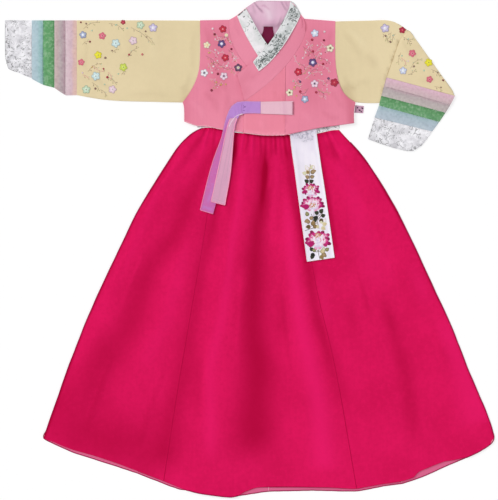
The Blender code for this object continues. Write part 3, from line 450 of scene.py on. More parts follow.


# Each row of these tables: points down the crease, its half width at its start and at its end, its
# rise, its tone (painted shade where positive, painted highlight where negative; on the brocades and
# the sash it also gathers the scribbles), and the shares of its length over which it comes in and dies away.
skirtCreases = [
    # small gathers below the band, from the left edge to the right edge
    ([(-88, 229), (-99, 205), (-112, 178)], 2.6, 6, 0.9, 0.25, 0, 0.6),
    ([(-79, 229), (-87, 196), (-98, 160)], 2.4, 6, 1.1, -0.25, 0, 0.6),
    ([(-66, 228), (-70, 204), (-75, 182)], 2.2, 4, 0.8, 0.3, 0, 0.6),
    ([(-26, 220), (-28, 192), (-34, 150)], 3, 6, 1.2, 0.8, 0, 0.5),
    ([(-12, 219), (-17, 190), (-18, 168)], 2.2, 4, 1, -0.35, 0, 0.5),
    ([(-4, 218), (-5, 202), (-12, 176)], 2, 3.6, 0.9, 0.4, 0, 0.5),
    ([(5, 218), (4, 188), (2, 158)], 2.4, 5, 1.1, -0.3, 0, 0.5),
    ([(18, 217), (20, 190), (20, 160)], 2.2, 4, 0.8, 0.35, 0, 0.5),
    ([(29, 217), (28, 176), (26, 112)], 2.6, 6, 0.9, 0.4, 0, 0.4),
    ([(38, 217), (40, 186), (40, 160)], 3.2, 5, 1, 0.4, 0, 0.5),
    ([(47, 217), (48, 196), (49, 172)], 2, 3.6, 0.9, 0.6, 0, 0.5),
    ([(55, 217), (57, 192), (61, 150)], 2.4, 5, 1.1, 0.3, 0, 0.5),
    ([(64, 217), (67, 190), (72, 160)], 3, 5, 0.8, 0.6, 0, 0.5),
    ([(72, 216), (78, 190), (80, 168)], 3, 5, 0.4, 0.35, 0, 0.5),
    ([(134, 220), (140, 196), (150, 166)], 2.6, 6, 0.9, 0.18, 0, 0.5),
    ([(143, 221), (158, 184), (176, 150)], 2.6, 7, 1.3, 0.22, 0, 0.5),
    ([(150, 223), (168, 190), (190, 152)], 2.4, 7, 0.9, -0.25, 0, 0.6),
    # shadow just under the jacket and the band, and beside the sash
    ([(-92, 231), (-72, 232), (-50, 228), (-24, 222), (20, 217), (80, 216)], 8, 8, 0, 0.5, 0, 0),
    ([(120, 218), (140, 219), (160, 223)], 5, 5, 0, 0.4, 0, 0),
    ([(130, 216), (134, 180), (147, 108), (165, -14)], 3.6, 4.6, 0, 0.5, 0, 0.1),
    ([(73, 214), (74, 190), (88, 110), (104, -20)], 2.6, 3, 0, 0.3, 0, 0.1),
    ([(104, -24), (134, -20), (162, -16)], 2.6, 2.6, 0, 0.3, 0, 0),
    # painted shade along the long valleys and smaller ones between them, with no rise, and one painted
    # lighter band
    ([(-50, 214), (-78, 169), (-97, 131), (-117, 93), (-137, 36), (-194, -40), (-224, -135), (-290, -230),
      (-330, -325)], 9, 40, 0, 0.42, 0.05, 0.2),
    ([(30, 216), (27, 169), (26, 131), (25, 93), (13, 36), (8, -40), (4, -135), (15, -230), (10, -325),
      (10, -420)], 8, 46, 0, 0.70, 0.12, 0.12),
    ([(34, 176), (28, 131), (18, 60)], 4, 6, 0, 0.35, 0.2, 0.4),
    ([(-40, 214), (-56, 120), (-72, 36), (-95, -40), (-110, -135), (-125, -230), (-150, -325),
      (-165, -420)], 7, 26, 0, 0.36, 0.1, 0.05),
    ([(68, 212), (76, 130), (92, 50), (112, -40), (130, -135), (160, -230),
      (188, -340)], 7, 16, 0, 0.50, 0.1, 0.3),
    ([(136, 210), (146, 140), (158, 70), (170, 10), (178, -30)], 5, 12, 0, 0.12, 0.1, 0.5),
    ([(146, 206), (160, 176), (184, 148)], 6, 12, -0.5, 0.2, 0.2, 0.6),
    ([(198, -24), (216, -86), (232, -150)], 2.6, 4, 0.5, 0.2, 0.3, 0.4),
    ([(180, -90), (194, -135), (205, -200)], 8, 12, 0, 0.18, 0.3, 0.4),
    ([(240, -70), (266, -135), (294, -230), (308, -325), (316, -390)], 10, 18, 0, 0.34, 0.2, 0.2),
    ([(-27, 206), (-31, 150), (-36, 95), (-46, 30)], 5, 9, 0, 0.32, 0.1, 0.4),
    ([(-98, 214), (-122, 170), (-150, 130)], 4, 8, 0, 0.26, 0.1, 0.5),
    ([(48, 190), (50, 130), (44, 70), (40, 0)], 4, 9, 0, -0.22, 0.3, 0.4),
    # painted highlights on the shoulders of the main ridges
    ([(-8, 190), (-20, 90), (-36, 0), (-50, -120), (-78, -230), (-74, -330),
      (-74, -420)], 7, 15, 0.4, -0.42, 0.1, 0.1),
    ([(68, 140), (74, 30), (84, -60), (102, -170), (130, -290), (142, -430)], 8, 24, 0.4, -0.6, 0.2, 0.05),
    ([(40, 150), (36, 110)], 3, 4, 0.2, -0.2, 0.3, 0.3),
    ([(-110, 60), (-133, -40), (-156, -135), (-209, -230), (-236, -330)], 8, 22, 0.3, -0.22, 0.2, 0.3),
    ([(-160, 140), (-206, 40), (-262, -70), (-300, -170)], 8, 20, 0.3, -0.2, 0.2, 0.4),
    ([(160, 180), (196, 100), (220, 0), (262, -100)], 10, 30, 0.3, -0.35, 0.1, 0.3),
    ([(360, -120), (404, -230), (438, -340)], 16, 34, 0.2, -0.5, 0.2, 0.1),
    # the sides turn away from the light
    ([(-106, 225), (-136, 200), (-215, 73), (-251, 0), (-318, -145), (-372, -303),
      (-393, -358)], 2.6, 3, 0, 0.95, 0, 0),
    ([(168, 227), (233, 152), (306, 19), (342, -61), (373, -121), (415, -236), (457, -327),
      (465, -357)], 2.4, 3, 0, 0.9, 0, 0),
    # painted shade dulling the left hem, soft painted patches of light and shade, and long fine wrinkles
    ([(-390, -300), (-330, -350), (-220, -380), (-130, -430)], 60, 60, 0, 0.42, 0, 0.3),
    ([(-206, -180), (-212, -250), (-216, -310)], 20, 22, 0, 0.18, 0.4, 0.4),
    ([(-92, -160), (-96, -250), (-102, -350)], 15, 18, 0, 0.24, 0.4, 0.4),
    ([(56, -50), (57, -120), (60, -200)], 12, 14, 0, 0.22, 0.4, 0.4),
    ([(-14, -20), (-19, -60), (-26, -104)], 13, 14, 0, -0.28, 0.5, 0.5),
    ([(128, -34), (136, -90), (150, -170)], 13, 15, 0, -0.34, 0.3, 0.5),
    ([(298, -10), (324, -70), (346, -130)], 14, 16, 0, -0.34, 0.5, 0.5),
    ([(210, 160), (176, 190), (164, 150)], 7, 9, 0, -0.2, 0.5, 0.5),
    ([(-124, 186), (-170, 122), (-208, 56)], 3, 4, 0.5, -0.15, 0.2, 0.4),
    ([(-146, 172), (-192, 96), (-226, 26)], 2.6, 4, 0.4, 0.15, 0.2, 0.4),
    ([(-212, 40), (-250, -44), (-276, -120)], 3, 5, 0.5, 0.12, 0.3, 0.4),
    ([(-186, 30), (-224, -56), (-256, -140)], 3, 5, 0.5, -0.15, 0.3, 0.4),
    ([(-40, 40), (-46, -30), (-54, -96)], 3, 5, 0.4, 0.12, 0.3, 0.4),
    ([(-14, -40), (-22, -150), (-30, -260)], 4, 6, 0.5, -0.12, 0.3, 0.4),
    ([(56, -60), (66, -160), (84, -270)], 4, 6, 0.5, 0.12, 0.3, 0.4),
    ([(130, -70), (150, -170), (176, -280)], 4, 6, 0.4, -0.12, 0.3, 0.4),
    ([(232, 40), (262, -30), (288, -100)], 3, 5, 0.4, -0.12, 0.3, 0.4),
    ([(330, -100), (362, -190), (392, -270)], 4, 7, 0.5, 0.12, 0.3, 0.4),
    ([(-150, -200), (-190, -300), (-214, -390)], 4, 7, 0.5, 0.12, 0.3, 0.3),
    ([(-256, -190), (-290, -280), (-316, -360)], 4, 7, 0.5, 0.12, 0.3, 0.3),
]

jacketCreases = [
    # bluer streaks along the lilac tail, and its end
    ([(-47, 214), (-56, 172), (-64, 130)], 1.6, 2, 0, 0.8, 0.2, 0.4),
    ([(-66, 130), (-74, 104), (-82, 84)], 2.6, 3, 0, 0.4, 0.4, 0.2),
    ([(-88, 80), (-80, 77), (-73, 75)], 2, 2, 0, 0.5, 0, 0),
    # the lining at the back of the neck: a painted highlight and two small creases
    ([(28, 470), (34, 448), (44, 424)], 17, 15, 0.1, -0.16, 0, 0.3),
    ([(18, 460), (26, 462), (34, 456), (40, 452)], 1.4, 1.8, 0.4, 0.3, 0.3, 0.3),
    ([(60, 444), (56, 430), (50, 420)], 1.6, 2, 0.4, 0.3, 0.3, 0.3),
    # the front, down from the collar and in from the armholes
    ([(-92, 300), (-70, 280), (-60, 250)], 5, 8, 0.7, 0.2, 0.2, 0.4),
    ([(-114, 284), (-92, 262), (-84, 240)], 4, 6, 0.6, -0.15, 0.2, 0.4),
    ([(-100, 350), (-84, 344), (-66, 346)], 3, 5, 0.4, 0.12, 0.2, 0.5),
    ([(-40, 300), (-46, 268), (-54, 236)], 4, 6, 0.5, 0.18, 0.3, 0.3),
    ([(-60, 320), (-52, 300), (-48, 284)], 4, 5, 0.5, -0.12, 0.3, 0.4),
    ([(-88, 425), (-80, 400), (-84, 372)], 4, 6, 0.4, 0.12, 0.2, 0.4),
    ([(-31, 268), (-29, 244), (-32, 222)], 2.2, 2.6, 0.4, 0.30, 0.2, 0),
    ([(-23, 268), (-23, 244), (-24, 222)], 1.6, 2, 0.4, 0.22, 0.2, 0),
    ([(60, 300), (64, 270), (66, 240)], 3, 4, 0.5, 0.22, 0.2, 0),
    ([(152, 300), (166, 276), (186, 262)], 5, 7, 0.7, 0.15, 0.2, 0.4),
    ([(132, 262), (150, 250), (176, 246)], 4, 6, 0.5, 0.15, 0.2, 0.4),
    ([(98, 262), (112, 248), (116, 234)], 5, 6, 0.5, -0.15, 0.3, 0.4),
    ([(156, 420), (148, 396), (152, 366)], 4, 5, 0.4, 0.12, 0.2, 0.4),
    ([(20, 246), (26, 232), (24, 220)], 5, 6, 0.4, -0.12, 0.2, 0.4),
    ([(44, 300), (48, 286), (62, 282)], 5, 6, 0.4, 0.12, 0.2, 0.4),
    # the collar bends over the shoulder
    ([(102, 436), (106, 424), (105, 410)], 1.6, 2.4, 0.5, 0.55, 0, 0.3),
    ([(96, 440), (99, 428), (98, 414)], 1.6, 2.4, 0.5, 0.35, 0, 0.4),
    ([(-30, 440), (-27, 420), (-18, 398)], 3, 4, 0.5, 0.12, 0.1, 0.4),
    ([(20, 300), (40, 318), (62, 342)], 4, 5, 0.4, -0.12, 0.3, 0.3),
    ([(-2, 320), (10, 330), (22, 338)], 4, 5, 0.4, 0.12, 0.3, 0.3),
    # the embroidered part looks deeper, and painted shade lies near the right side
    ([(118, 396), (122, 350), (112, 300)], 34, 34, 0, 0.3, 0, 0),
    ([(-64, 400), (-58, 350), (-58, 310)], 24, 22, 0, 0.32, 0, 0),
    ([(-4, 330), (-18, 314), (-10, 296)], 12, 12, 0, 0.25, 0, 0),
    ([(182, 302), (192, 276), (194, 236)], 12, 9, 0, 0.5, 0, 0),
    ([(-122, 300), (-126, 276), (-124, 232)], 8, 8, 0, 0.25, 0, 0),
    # painted highlights along the hem and the front edge
    ([(-13, 223), (27, 218), (66, 218)], 3, 3, 0, -0.45, 0, 0),
    ([(-9, 275), (-10, 250), (-11, 222)], 2, 2, 0, -0.3, 0, 0),
    # the satin in the neck: painted shade along the strips, painted shadow beside the label, and its small
    # creases
    ([(-6, 448), (6, 425), (20, 404)], 7, 9, 0, 0.5, 0.1, 0),
    ([(20, 424), (36, 416), (52, 424)], 12, 12, 0, 0.22, 0, 0),
    ([(76, 458), (66, 436), (52, 416)], 4, 5, 0, 0.3, 0.1, 0.2),
    ([(18, 408), (33, 388)], 5, 6, 0, 0.9, 0.2, 0), ([(52, 408), (36, 388)], 5, 6, 0, 0.7, 0.2, 0),
    ([(8, 467), (16, 457), (27, 446)], 1.3, 1.8, 0.6, 0.8, 0, 0.3),
    ([(4, 464), (8, 452), (12, 440)], 2.4, 3, 0.5, 0.3, 0.1, 0.5),
    ([(59, 469), (64, 460), (70, 450)], 1.3, 1.8, 0.5, 0.6, 0, 0.3),
    ([(66, 470), (70, 462), (73, 456)], 1.4, 2, 0.5, 0.35, 0, 0.4),
    ([(30, 462), (38, 440), (44, 432)], 4, 5, 0.4, -0.12, 0.2, 0.4),
    ([(20, 420), (40, 424), (58, 420)], 4, 4, 0.3, 0.25, 0.2, 0.3),
]

sleeveCreases = [
    # painted shadow along the line where the right sleeve is folded over, and the gathers on it
    ([(287, 413), (281, 390), (271, 362), (260, 331), (249, 294)], 1.6, 1.6, 0, 0.5, 0, 0),
    ([(281, 396), (276, 382)], 2.6, 2.6, 0.3, 0.4, 0.2, 0.2),
    ([(273, 368), (268, 354)], 2.6, 2.4, 0.3, 0.45, 0.2, 0.2),
    ([(262, 338), (257, 326)], 2.2, 2.2, 0.3, 0.3, 0.2, 0.2),
    # the left sleeve
    ([(-104, 420), (-112, 380), (-108, 330)], 5, 6, 0.5, 0.12, 0.2, 0.3),
    ([(-140, 300), (-122, 312), (-108, 340)], 6, 6, 0.7, 0.15, 0.2, 0.4),
    ([(-176, 432), (-184, 380), (-178, 330)], 6, 8, 0.6, -0.12, 0.2, 0.4),
    ([(-150, 288), (-190, 296), (-240, 292)], 4, 6, 0.6, 0.12, 0.2, 0.4),
    ([(-236, 420), (-226, 390), (-232, 352)], 4, 6, 0.5, 0.10, 0.2, 0.4),
    ([(-300, 330), (-280, 312), (-256, 300)], 4, 5, 0.5, 0.12, 0.2, 0.4),
    ([(-318, 420), (-312, 380), (-316, 330)], 3, 4, 0.5, 0.10, 0.2, 0.3),
    # the right sleeve, from the armhole to the fold and on the part that is folded back
    ([(172, 412), (188, 396), (208, 368), (214, 340)], 5, 9, 1, 0.16, 0.2, 0.4),
    ([(182, 420), (204, 404), (226, 372)], 4, 8, 0.8, -0.2, 0.2, 0.4),
    ([(216, 372), (232, 356), (236, 336)], 8, 8, 0.9, 0.22, 0.3, 0.4),
    ([(190, 300), (208, 316), (236, 320)], 5, 7, 0.7, 0.12, 0.2, 0.4),
    ([(176, 330), (186, 312), (204, 296)], 5, 5, 0.6, 0.15, 0.2, 0.4),
    ([(286, 400), (300, 372), (322, 350)], 4, 6, 0.6, 0.12, 0.2, 0.4),
    ([(276, 360), (300, 346), (330, 344)], 4, 6, 0.5, -0.12, 0.2, 0.4),
    ([(352, 330), (336, 320), (312, 318)], 4, 6, 0.5, 0.12, 0.2, 0.4),
    # the cuffs: darker along their ends, and their folds
    ([(-464, 434), (-464, 400), (-464, 364), (-457, 341)], 4, 7, 0, 0.55, 0, 0),
    ([(-459, 344), (-446, 338), (-430, 328), (-416, 322)], 4, 4, 0, 0.45, 0, 0),
    ([(-462, 434), (-446, 436)], 4, 4, 0, 0.9, 0, 0.2),
    ([(223, 209), (262, 196), (303, 185), (325, 195)], 4, 4, 0, 0.4, 0, 0),
    ([(236, 250), (230, 230), (223, 209)], 3, 4, 0, 0.45, 0, 0),
    ([(232, 222), (246, 206), (262, 202)], 9, 9, 0, 0.3, 0, 0.3),
    ([(254, 228), (262, 231), (271, 226), (274, 217), (269, 209), (260, 207),
      (252, 212)], 2.6, 3, 0.5, 0.3, 0.1, 0.1),
    ([(286, 226), (300, 220), (312, 224)], 3, 4, 0.5, 0.22, 0.2, 0.2),
    ([(-448, 366), (-430, 350), (-420, 334)], 12, 12, 0, 0.22, 0, 0),
    ([(-424, 430), (-430, 400), (-426, 372)], 3, 4, 0.5, 0.2, 0.2, 0.3),
    ([(-444, 424), (-440, 398), (-446, 372)], 3, 4, 0.6, -0.2, 0.2, 0.3),
    ([(-456, 430), (-460, 400), (-458, 372)], 2.4, 3, 0.6, 0.45, 0.1, 0.2),
    ([(-462, 362), (-452, 350), (-440, 342)], 3, 3, 0.6, 0.5, 0.1, 0.2),
    ([(-420, 340), (-430, 348), (-442, 346)], 3, 4, 0.5, 0.3, 0.2, 0.3),
    ([(244, 236), (262, 230), (270, 214)], 4, 5, 0.8, 0.4, 0.2, 0.3),
    ([(262, 244), (276, 232), (290, 228)], 3, 4, 0.6, 0.3, 0.2, 0.3),
    ([(296, 226), (306, 212), (324, 206)], 3, 4, 0.7, -0.2, 0.2, 0.3),
    ([(230, 212), (256, 200), (290, 192)], 3, 3, 0.5, 0.3, 0.1, 0.2),
]

sashCreases = [
    # the crinkles below the jacket
    ([(82, 216), (104, 210), (124, 214)], 9, 9, 0, 0.3, 0, 0),
    ([(82, 228), (92, 223), (104, 226)], 1.6, 2.2, 0.7, 0.4, 0, 0.3),
    ([(93, 221), (102, 216), (112, 220)], 1.4, 2, 0.6, 0.3, 0, 0.3),
    ([(100, 226), (111, 219), (122, 225)], 1.6, 2, 0.7, 0.35, 0, 0.2),
    ([(86, 217), (95, 210), (104, 212)], 1.8, 2.2, 0.6, 0.25, 0, 0.4),
    ([(107, 213), (114, 207), (122, 212)], 1.5, 2, 0.5, 0.25, 0, 0.4),
    ([(96, 206), (104, 203), (110, 205)], 1.5, 2, 0.4, 0.2, 0.2, 0.4),
    # long soft folds and the lighter edge
    ([(86, 196), (92, 150), (100, 90), (112, 10)], 3, 4, 0.3, 0.14, 0.1, 0.2),
    ([(94, 170), (100, 140), (102, 120)], 9, 9, 0, 0.1, 0.3, 0.3),
    ([(118, 190), (126, 130), (138, 70)], 5, 6, 0, -0.3, 0.1, 0.2),
    ([(123, 216), (140, 108), (157, -14)], 2.2, 2.2, 0, -0.4, 0, 0),
    # the ends of the band
    ([(134, 227), (142, 226), (150, 229)], 1.6, 2, 0.4, 0.5, 0, 0.2),
    ([(144, 222), (152, 226), (164, 228)], 1.6, 2, 0.4, 0.4, 0, 0.2),
    ([(126, 222), (132, 219), (140, 221)], 1.6, 2, 0.4, 0.5, 0, 0.2),
    ([(-98, 235), (-88, 232), (-76, 234)], 1.6, 2, 0.4, 0.5, 0, 0.2),
]

stripCreases = [
    ([(80, 450), (88, 438)], 7, 7, 0, 1, 0, 0), ([(62, 398), (50, 380), (38, 368)], 8, 7, 0, 0.95, 0, 0),
    ([(34, 364), (16, 350)], 6, 7, 0, 1, 0, 0), ([(-24, 442), (-16, 450), (-8, 457)], 2.2, 2.2, 0, 1, 0, 0),
    ([(-8, 424), (-1, 416)], 4, 4, 0, 0.3, 0.2, 0.2), ([(22, 382), (28, 372)], 4, 4, 0, 0.35, 0.2, 0.2),
]

# what a low camera sees from below: the layer that lies on the table, ruffled by these, and on the back
# pieces given painted highlights along its ridges
underCreases = [
    ([(-40, 200), (-60, 60), (-90, -120), (-120, -300)], 8, 22, 0.4, 0.4, 0.1, 0.2),
    ([(20, 200), (24, 60), (20, -120), (28, -330)], 6, 20, 0.4, 0.5, 0.1, 0.2),
    ([(70, 200), (96, 60), (130, -120), (170, -330)], 6, 24, 0.4, 0.4, 0.1, 0.2),
    ([(-90, 190), (-160, 60), (-240, -120), (-290, -300)], 8, 22, 0.4, 0.4, 0.1, 0.2),
    ([(130, 200), (200, 60), (290, -120), (360, -300)], 8, 22, 0.4, 0.4, 0.1, 0.2),
    ([(-60, 380), (-40, 340), (-50, 290)], 6, 9, 0.35, 0.3, 0.2, 0.3),
    ([(120, 390), (110, 340), (130, 290)], 6, 9, 0.35, 0.3, 0.2, 0.3),
    ([(-200, 420), (-190, 370), (-210, 310)], 6, 9, 0.35, 0.3, 0.2, 0.3),
    ([(220, 420), (230, 370), (220, 310)], 6, 9, 0.35, 0.3, 0.2, 0.3),
]

# how far the front of the hem is caught up above the back layer, by place along the hem
hemOfFront = [(-394, -358), (-354, -375), (-263, -406), (-164, -440), (-118, -458), (-63.5, -468),
              (-21, -468), (9, -457.5), (100, -456), (202, -455), (288, -441.5), (360.5, -413),
              (427, -388.5), (460, -367.5)]
hemLifts = [(-394, 0), (-372, 3.4), (-263, 3.8), (-164, 1.4), (-60, 0), (-30, 0), (-12, 4.5), (95, 4.5),
            (152, 4.5), (200, 1.6), (247, 2.2), (300, 1.6), (313, 2), (317, 8.5), (330, 8.5), (350, 6.5),
            (372, 4), (388, 1.2), (420, 0.4), (460, 0)]
# how much lower the hem hangs than its cut, by place across
hemDrop = [(-390, -3.2), (-337, -3.4), (-300, -1.3), (-246, -0.8), (-200, -1.5), (-154, -2.2), (-109, -0.8),
           (-63, 0.4), (-18, -1.8), (27, 0.6), (73, 0), (118, -0.9), (187, -2.2), (232, -1.1), (255, -0.2),
           (310, -1.8), (335, -1.2), (369, 2), (392, 1.2), (415, -1.5), (460, -0.5)]
# how far in and out the two side edges swing, by height, and where those edges are
leftSwing = [(-345, 0.4), (-300, -0.4), (-231, 0.4), (-208, 1.6), (-162, 3), (-117, 3.3), (-48, 2.8),
             (20, 2.8), (65, 1.6), (110, 2.4), (156, 3.4), (224, 3.4)]
rightSwing = [(-360, 0), (-292, 0.2), (-257, 1.4), (-223, 1.2), (-200, 1.5), (-178, 0.8), (-155, 0),
              (-132, -0.9), (-97, -1.6), (-64, -0.1), (27, 0), (72, 0.7), (95, -0.4), (118, -0.9),
              (152, -1.7), (186, 0.6)]
leftEdge = [(-358, -393), (-303, -372), (-145, -318), (0, -251), (73, -215), (200, -136), (225, -106)]
rightEdge = [(-357, 465), (-327, 457), (-236, 415), (-121, 373), (-61, 342), (19, 306), (152, 233),
             (227, 168)]

folding = {
    "liftFrom": 0.7,       # height above which a crease lifts the cloth, and over how much more
    "liftOver": 1.2,
    "deepest": -0.6,
    "ruffleTo": 0.9,       # the underside is ruffled up to this height, and by no more than this
    "ruffleMost": 0.4,
    "toneFrom": 0.2,
    "toneOver": 0.8,
    "frontFrom": 1.02,     # the height at which the front layer begins
    "frontOver": 0.2,
    "innerWall": (0.8, 1.15),
    "hemReach": 34,        # how far up from the hem it is caught up, and hangs
    "hangReach": 40,
    "swingReach": 50,
    "reach": 2.2,          # of a crease, in half widths
    "shadeOfBack": -1.4,
    "smoothAngle": 48,
}
label = {"middle": 35.0, "top": 421, "flareFrom": 419, "flareOver": 15, "flare": 0.40, "longer": 1.17}


# Reads a table of (place, value) pairs at any places between them.
def between(table, at):
    return np.interp(at, *zip(*table))


# The new heights: the folds lift what is above the lowest layer, and ruffle its underside.
def foldedHeights(heights, rise, under):
    share = ease((heights - folding["liftFrom"]) / folding["liftOver"])
    below = under * (1 - ease(heights / folding["ruffleTo"]))
    return heights + np.maximum(rise, folding["deepest"]) * share + below


def chooseOnly(*pieces):
    for other in list(bpy.context.selected_objects):
        other.select_set(False)
    for piece in pieces:
        piece.select_set(True)
    bpy.context.view_layer.objects.active = pieces[0]


# Cuts a piece into small squares, so that creases can bend it.
def crossCut(piece, step):
    cells = bmesh.new()
    cells.from_mesh(piece.data)
    corners = np.array([vertex.co for vertex in cells.verts])
    low, high = corners.min(axis=0), corners.max(axis=0)
    for axis in (0, 1):
        count = int((high[axis] - low[axis]) / step)
        way = Vector((axis == 0, axis == 1, 0))
        for at in range(1, count + 1):
            cut = Vector((0, 0, 0))
            cut[axis] = low[axis] + at * (high[axis] - low[axis]) / (count + 1)
            everything = cells.verts[:] + cells.edges[:] + cells.faces[:]
            bmesh.ops.bisect_plane(cells, geom=everything, dist=1e-6, plane_co=cut, plane_no=way)
    cells.to_mesh(piece.data)
    cells.free()


cutting = {
    "weld": 2e-6,
    "flatAngle": 0.7,         # triangles that meet flatter than this become one face
    "flatShape": 3.1,
    "edgeAngles": (0.95, 1.78),   # bends between these stay sharp
    "cornerAngle": 0.4,       # and upright edges above this
}


# A softer, finer copy of a node's cloth.
def cutFrom(node, rounds, step):
    mesh = bpy.data.meshes.new(node)
    shell = bmesh.new()
    shell.from_mesh(nodes[node].data)
    for vertex in shell.verts:
        vertex.co = nodes[node].matrix_world @ vertex.co
    bmesh.ops.remove_doubles(shell, verts=shell.verts, dist=cutting["weld"])
    bmesh.ops.join_triangles(shell, faces=shell.faces, angle_face_threshold=cutting["flatAngle"],
                             angle_shape_threshold=cutting["flatShape"])
    creased = shell.edges.layers.float.new("crease_edge")
    least, most = cutting["edgeAngles"]
    for edge in shell.edges:
        way = edge.verts[1].co - edge.verts[0].co
        upright = abs(way.z) > math.hypot(way.x, way.y)
        bend = edge.calc_face_angle(0.0)
        sharp = least < bend < most or (upright and bend > cutting["cornerAngle"])
        edge[creased] = 1.0 if sharp else 0.0
    shell.to_mesh(mesh)
    shell.free()
    for leftover in ("custom_normal", "sharp_edge", "sharp_face"):
        if leftover in mesh.attributes:
            mesh.attributes.remove(mesh.attributes[leftover])
    title = (node if "_" in node else node + "_cloth").split("_")
    piece = bpy.data.objects.new(title[0] + "".join(word.capitalize() for word in title[1:]), mesh)
    bpy.context.scene.collection.objects.link(piece)
    chooseOnly(piece)
    if rounds:
        softened = piece.modifiers.new("softened", "SUBSURF")
        softened.levels = rounds
        softened.render_levels = rounds
        bpy.ops.object.modifier_apply(modifier=softened.name)
    if step:
        crossCut(piece, step * mm)
    return piece


# The tables of creases that bend a piece, and whether each one also shades it.
def creasesOf(node):
    onSkirt = node.startswith("skirt")
    groups = [(skirtCreases, onSkirt), (jacketCreases, not onSkirt), (sleeveCreases, not onSkirt)]
    if node in ("sash", "waistband"):
        groups.append((sashCreases, True))
    if node.startswith("collar_strip"):
        groups.append((stripCreases, True))
    return groups


# The skirt's hem and sides leave the straight lines of their cut.
def letHang(node, points, across, up):
    fromHem = up - between(hemOfFront, across)
    if "back" not in node:
        front = ease((points[:, 2] - folding["frontFrom"]) / folding["frontOver"])
        points[:, 1] += between(hemLifts, across) * ease(1 - fromHem / folding["hemReach"]) * front
    points[:, 1] += between(hemDrop, across) * ease(1 - fromHem / folding["hangReach"])
    for swing, edge in ((leftSwing, leftEdge), (rightSwing, rightEdge)):
        inward = abs(across - between(edge, up))
        points[:, 0] += between(swing, up) * ease(1 - inward / folding["swingReach"])


def applyCreases(piece, node):
    mesh = piece.data
    count = len(mesh.vertices)
    points = np.zeros(count * 3)
    mesh.vertices.foreach_get("co", points)
    points = points.reshape(-1, 3) / mm
    places = points[:, :2].copy()
    across, up = places.T
    low, high = places.min(axis=0), places.max(axis=0)
    rise, under, fold = np.zeros(count), np.zeros(count), np.zeros(count)
    for creases, toned in creasesOf(node):
        for line, firstWidth, lastWidth, lift, tone, *fades in creases:
            line = np.array(line, float)
            reach = folding["reach"] * max(firstWidth, lastWidth)
            if (line.max(axis=0) + reach < low).any() or (line.min(axis=0) - reach > high).any():
                continue
            share = creaseShare(places, line, firstWidth, lastWidth, *fades)
            rise += share * lift
            fold += share * tone * toned
    for line, firstWidth, lastWidth, lift, tone, *fades in underCreases:
        under += creaseShare(places, np.array(line, float), firstWidth, lastWidth, *fades) * lift
    level = points[:, 2].copy()
    if node.startswith("skirt"):
        letHang(node, points, across, up)
    if node == "neck_label":
        flare = ease((label["flareFrom"] - up) / label["flareOver"])
        points[:, 0] = label["middle"] + (across - label["middle"]) * (1 + label["flare"] * flare)
        points[:, 1] = label["top"] - (label["top"] - up) * label["longer"]
    points[:, 2] = foldedHeights(level, rise, np.minimum(under, folding["ruffleMost"]))
    mesh.vertices.foreach_set("co", (points * mm).ravel())
    # the tones become painted shade and painted highlight, on upper faces only; the back pieces instead get
    # painted highlights along the ridges of their underside
    seen = ease((level - folding["toneFrom"]) / folding["toneOver"])
    if node.startswith("skirt_back"):
        fold, seen = folding["shadeOfBack"] * under, 1 - seen
    marks = mesh.attributes.new("fold", "FLOAT", "POINT")
    marks.data.foreach_set("value", np.clip(fold * seen, -1, 1))
    if node.startswith("skirt"):
        least, most = folding["innerWall"]
        inner = mesh.attributes.new("inside", "FLOAT", "POINT")
        inner.data.foreach_set("value", ((level > least) & (level < most)).astype(float))
    mesh.update()
    chooseOnly(piece)
    bpy.ops.object.shade_smooth_by_angle(angle=math.radians(folding["smoothAngle"]))


# node: rounds of softening, size of its squares, finish, flat cut (width, length), how it is held
clothPieces = {
    "skirt_front_middle": (3, None, "skirt", (0.372, 0.700), "gathered"),
    "skirt_side_left": (2, None, "skirt", (0.480, 0.650), "gathered"),
    "skirt_side_right": (2, None, "skirt", (0.520, 0.660), "gathered"),
    "skirt_back_left": (0, 8, "skirt", (0.260, 0.690), "laid"),
    "skirt_back_right": (0, 8, "skirt", (0.260, 0.690), "laid"),
    "waistband": (1, 5, "band", (0.545, 0.055), "gathered"),
    "sash": (3, None, "sash", (0.054, 0.258), "laid"),
    "jacket_back": (2, None, "jacket", (0.330, 0.225), "laid"),
    "collar_back": (1, 5, "collar", (0.145, 0.038), "laid"),
    "back_lining": (1, 2, "lining", (0.092, 0.085), "laid"),
    "jacket_front_left": (2, None, "jacket", (0.168, 0.220), "laid"),
    "jacket_front_right": (3, None, "jacket", (0.135, 0.222), "laid"),
    "overlap_panel": (3, None, "overlap", (0.082, 0.135), "laid"),
    "collar_left": (3, None, "collar", (0.050, 0.130), "laid"),
    "collar_right": (3, None, "collar", (0.060, 0.240), "laid"),
    "collar_strip_left": (3, None, "silverPale", (0.027, 0.101), "laid"),
    "collar_strip_right": (3, None, "silver", (0.025, 0.142), "laid"),
    "neck_label": (3, None, "label", (0.0235, 0.0355), "laid"),
    "tie_band_pink": (3, None, "palePink", (0.062, 0.026), "laid"),
    "tie_lilac": (3, None, "lilac", (0.026, 0.255), "folded"),
    "tie_tail_pink": (3, None, "palePinkTail", (0.027, 0.166), "laid"),
    "side_tie": (2, 2, "mauve", (0.018, 0.016), "laid"),
    "sleeve_left": (1, 4, "sleeve", (0.312, 0.235), "laid"),
    "sleeve_right": (2, 6, "sleeve", (0.312, 0.240), "folded"),
    "cuff_left": (1, 3, "cuff", (0.222, 0.050), "laid"),
    "cuff_right": (1, 4, "cuff", (0.232, 0.048), "laid"),
}
for side, width in (("left", 0.286), ("right", 0.270)):
    for stripe in stripes[side]:
        clothPieces[stripe + "_" + side] = (1, 5, stripe + "_" + side, (width, 0.022), "laid")

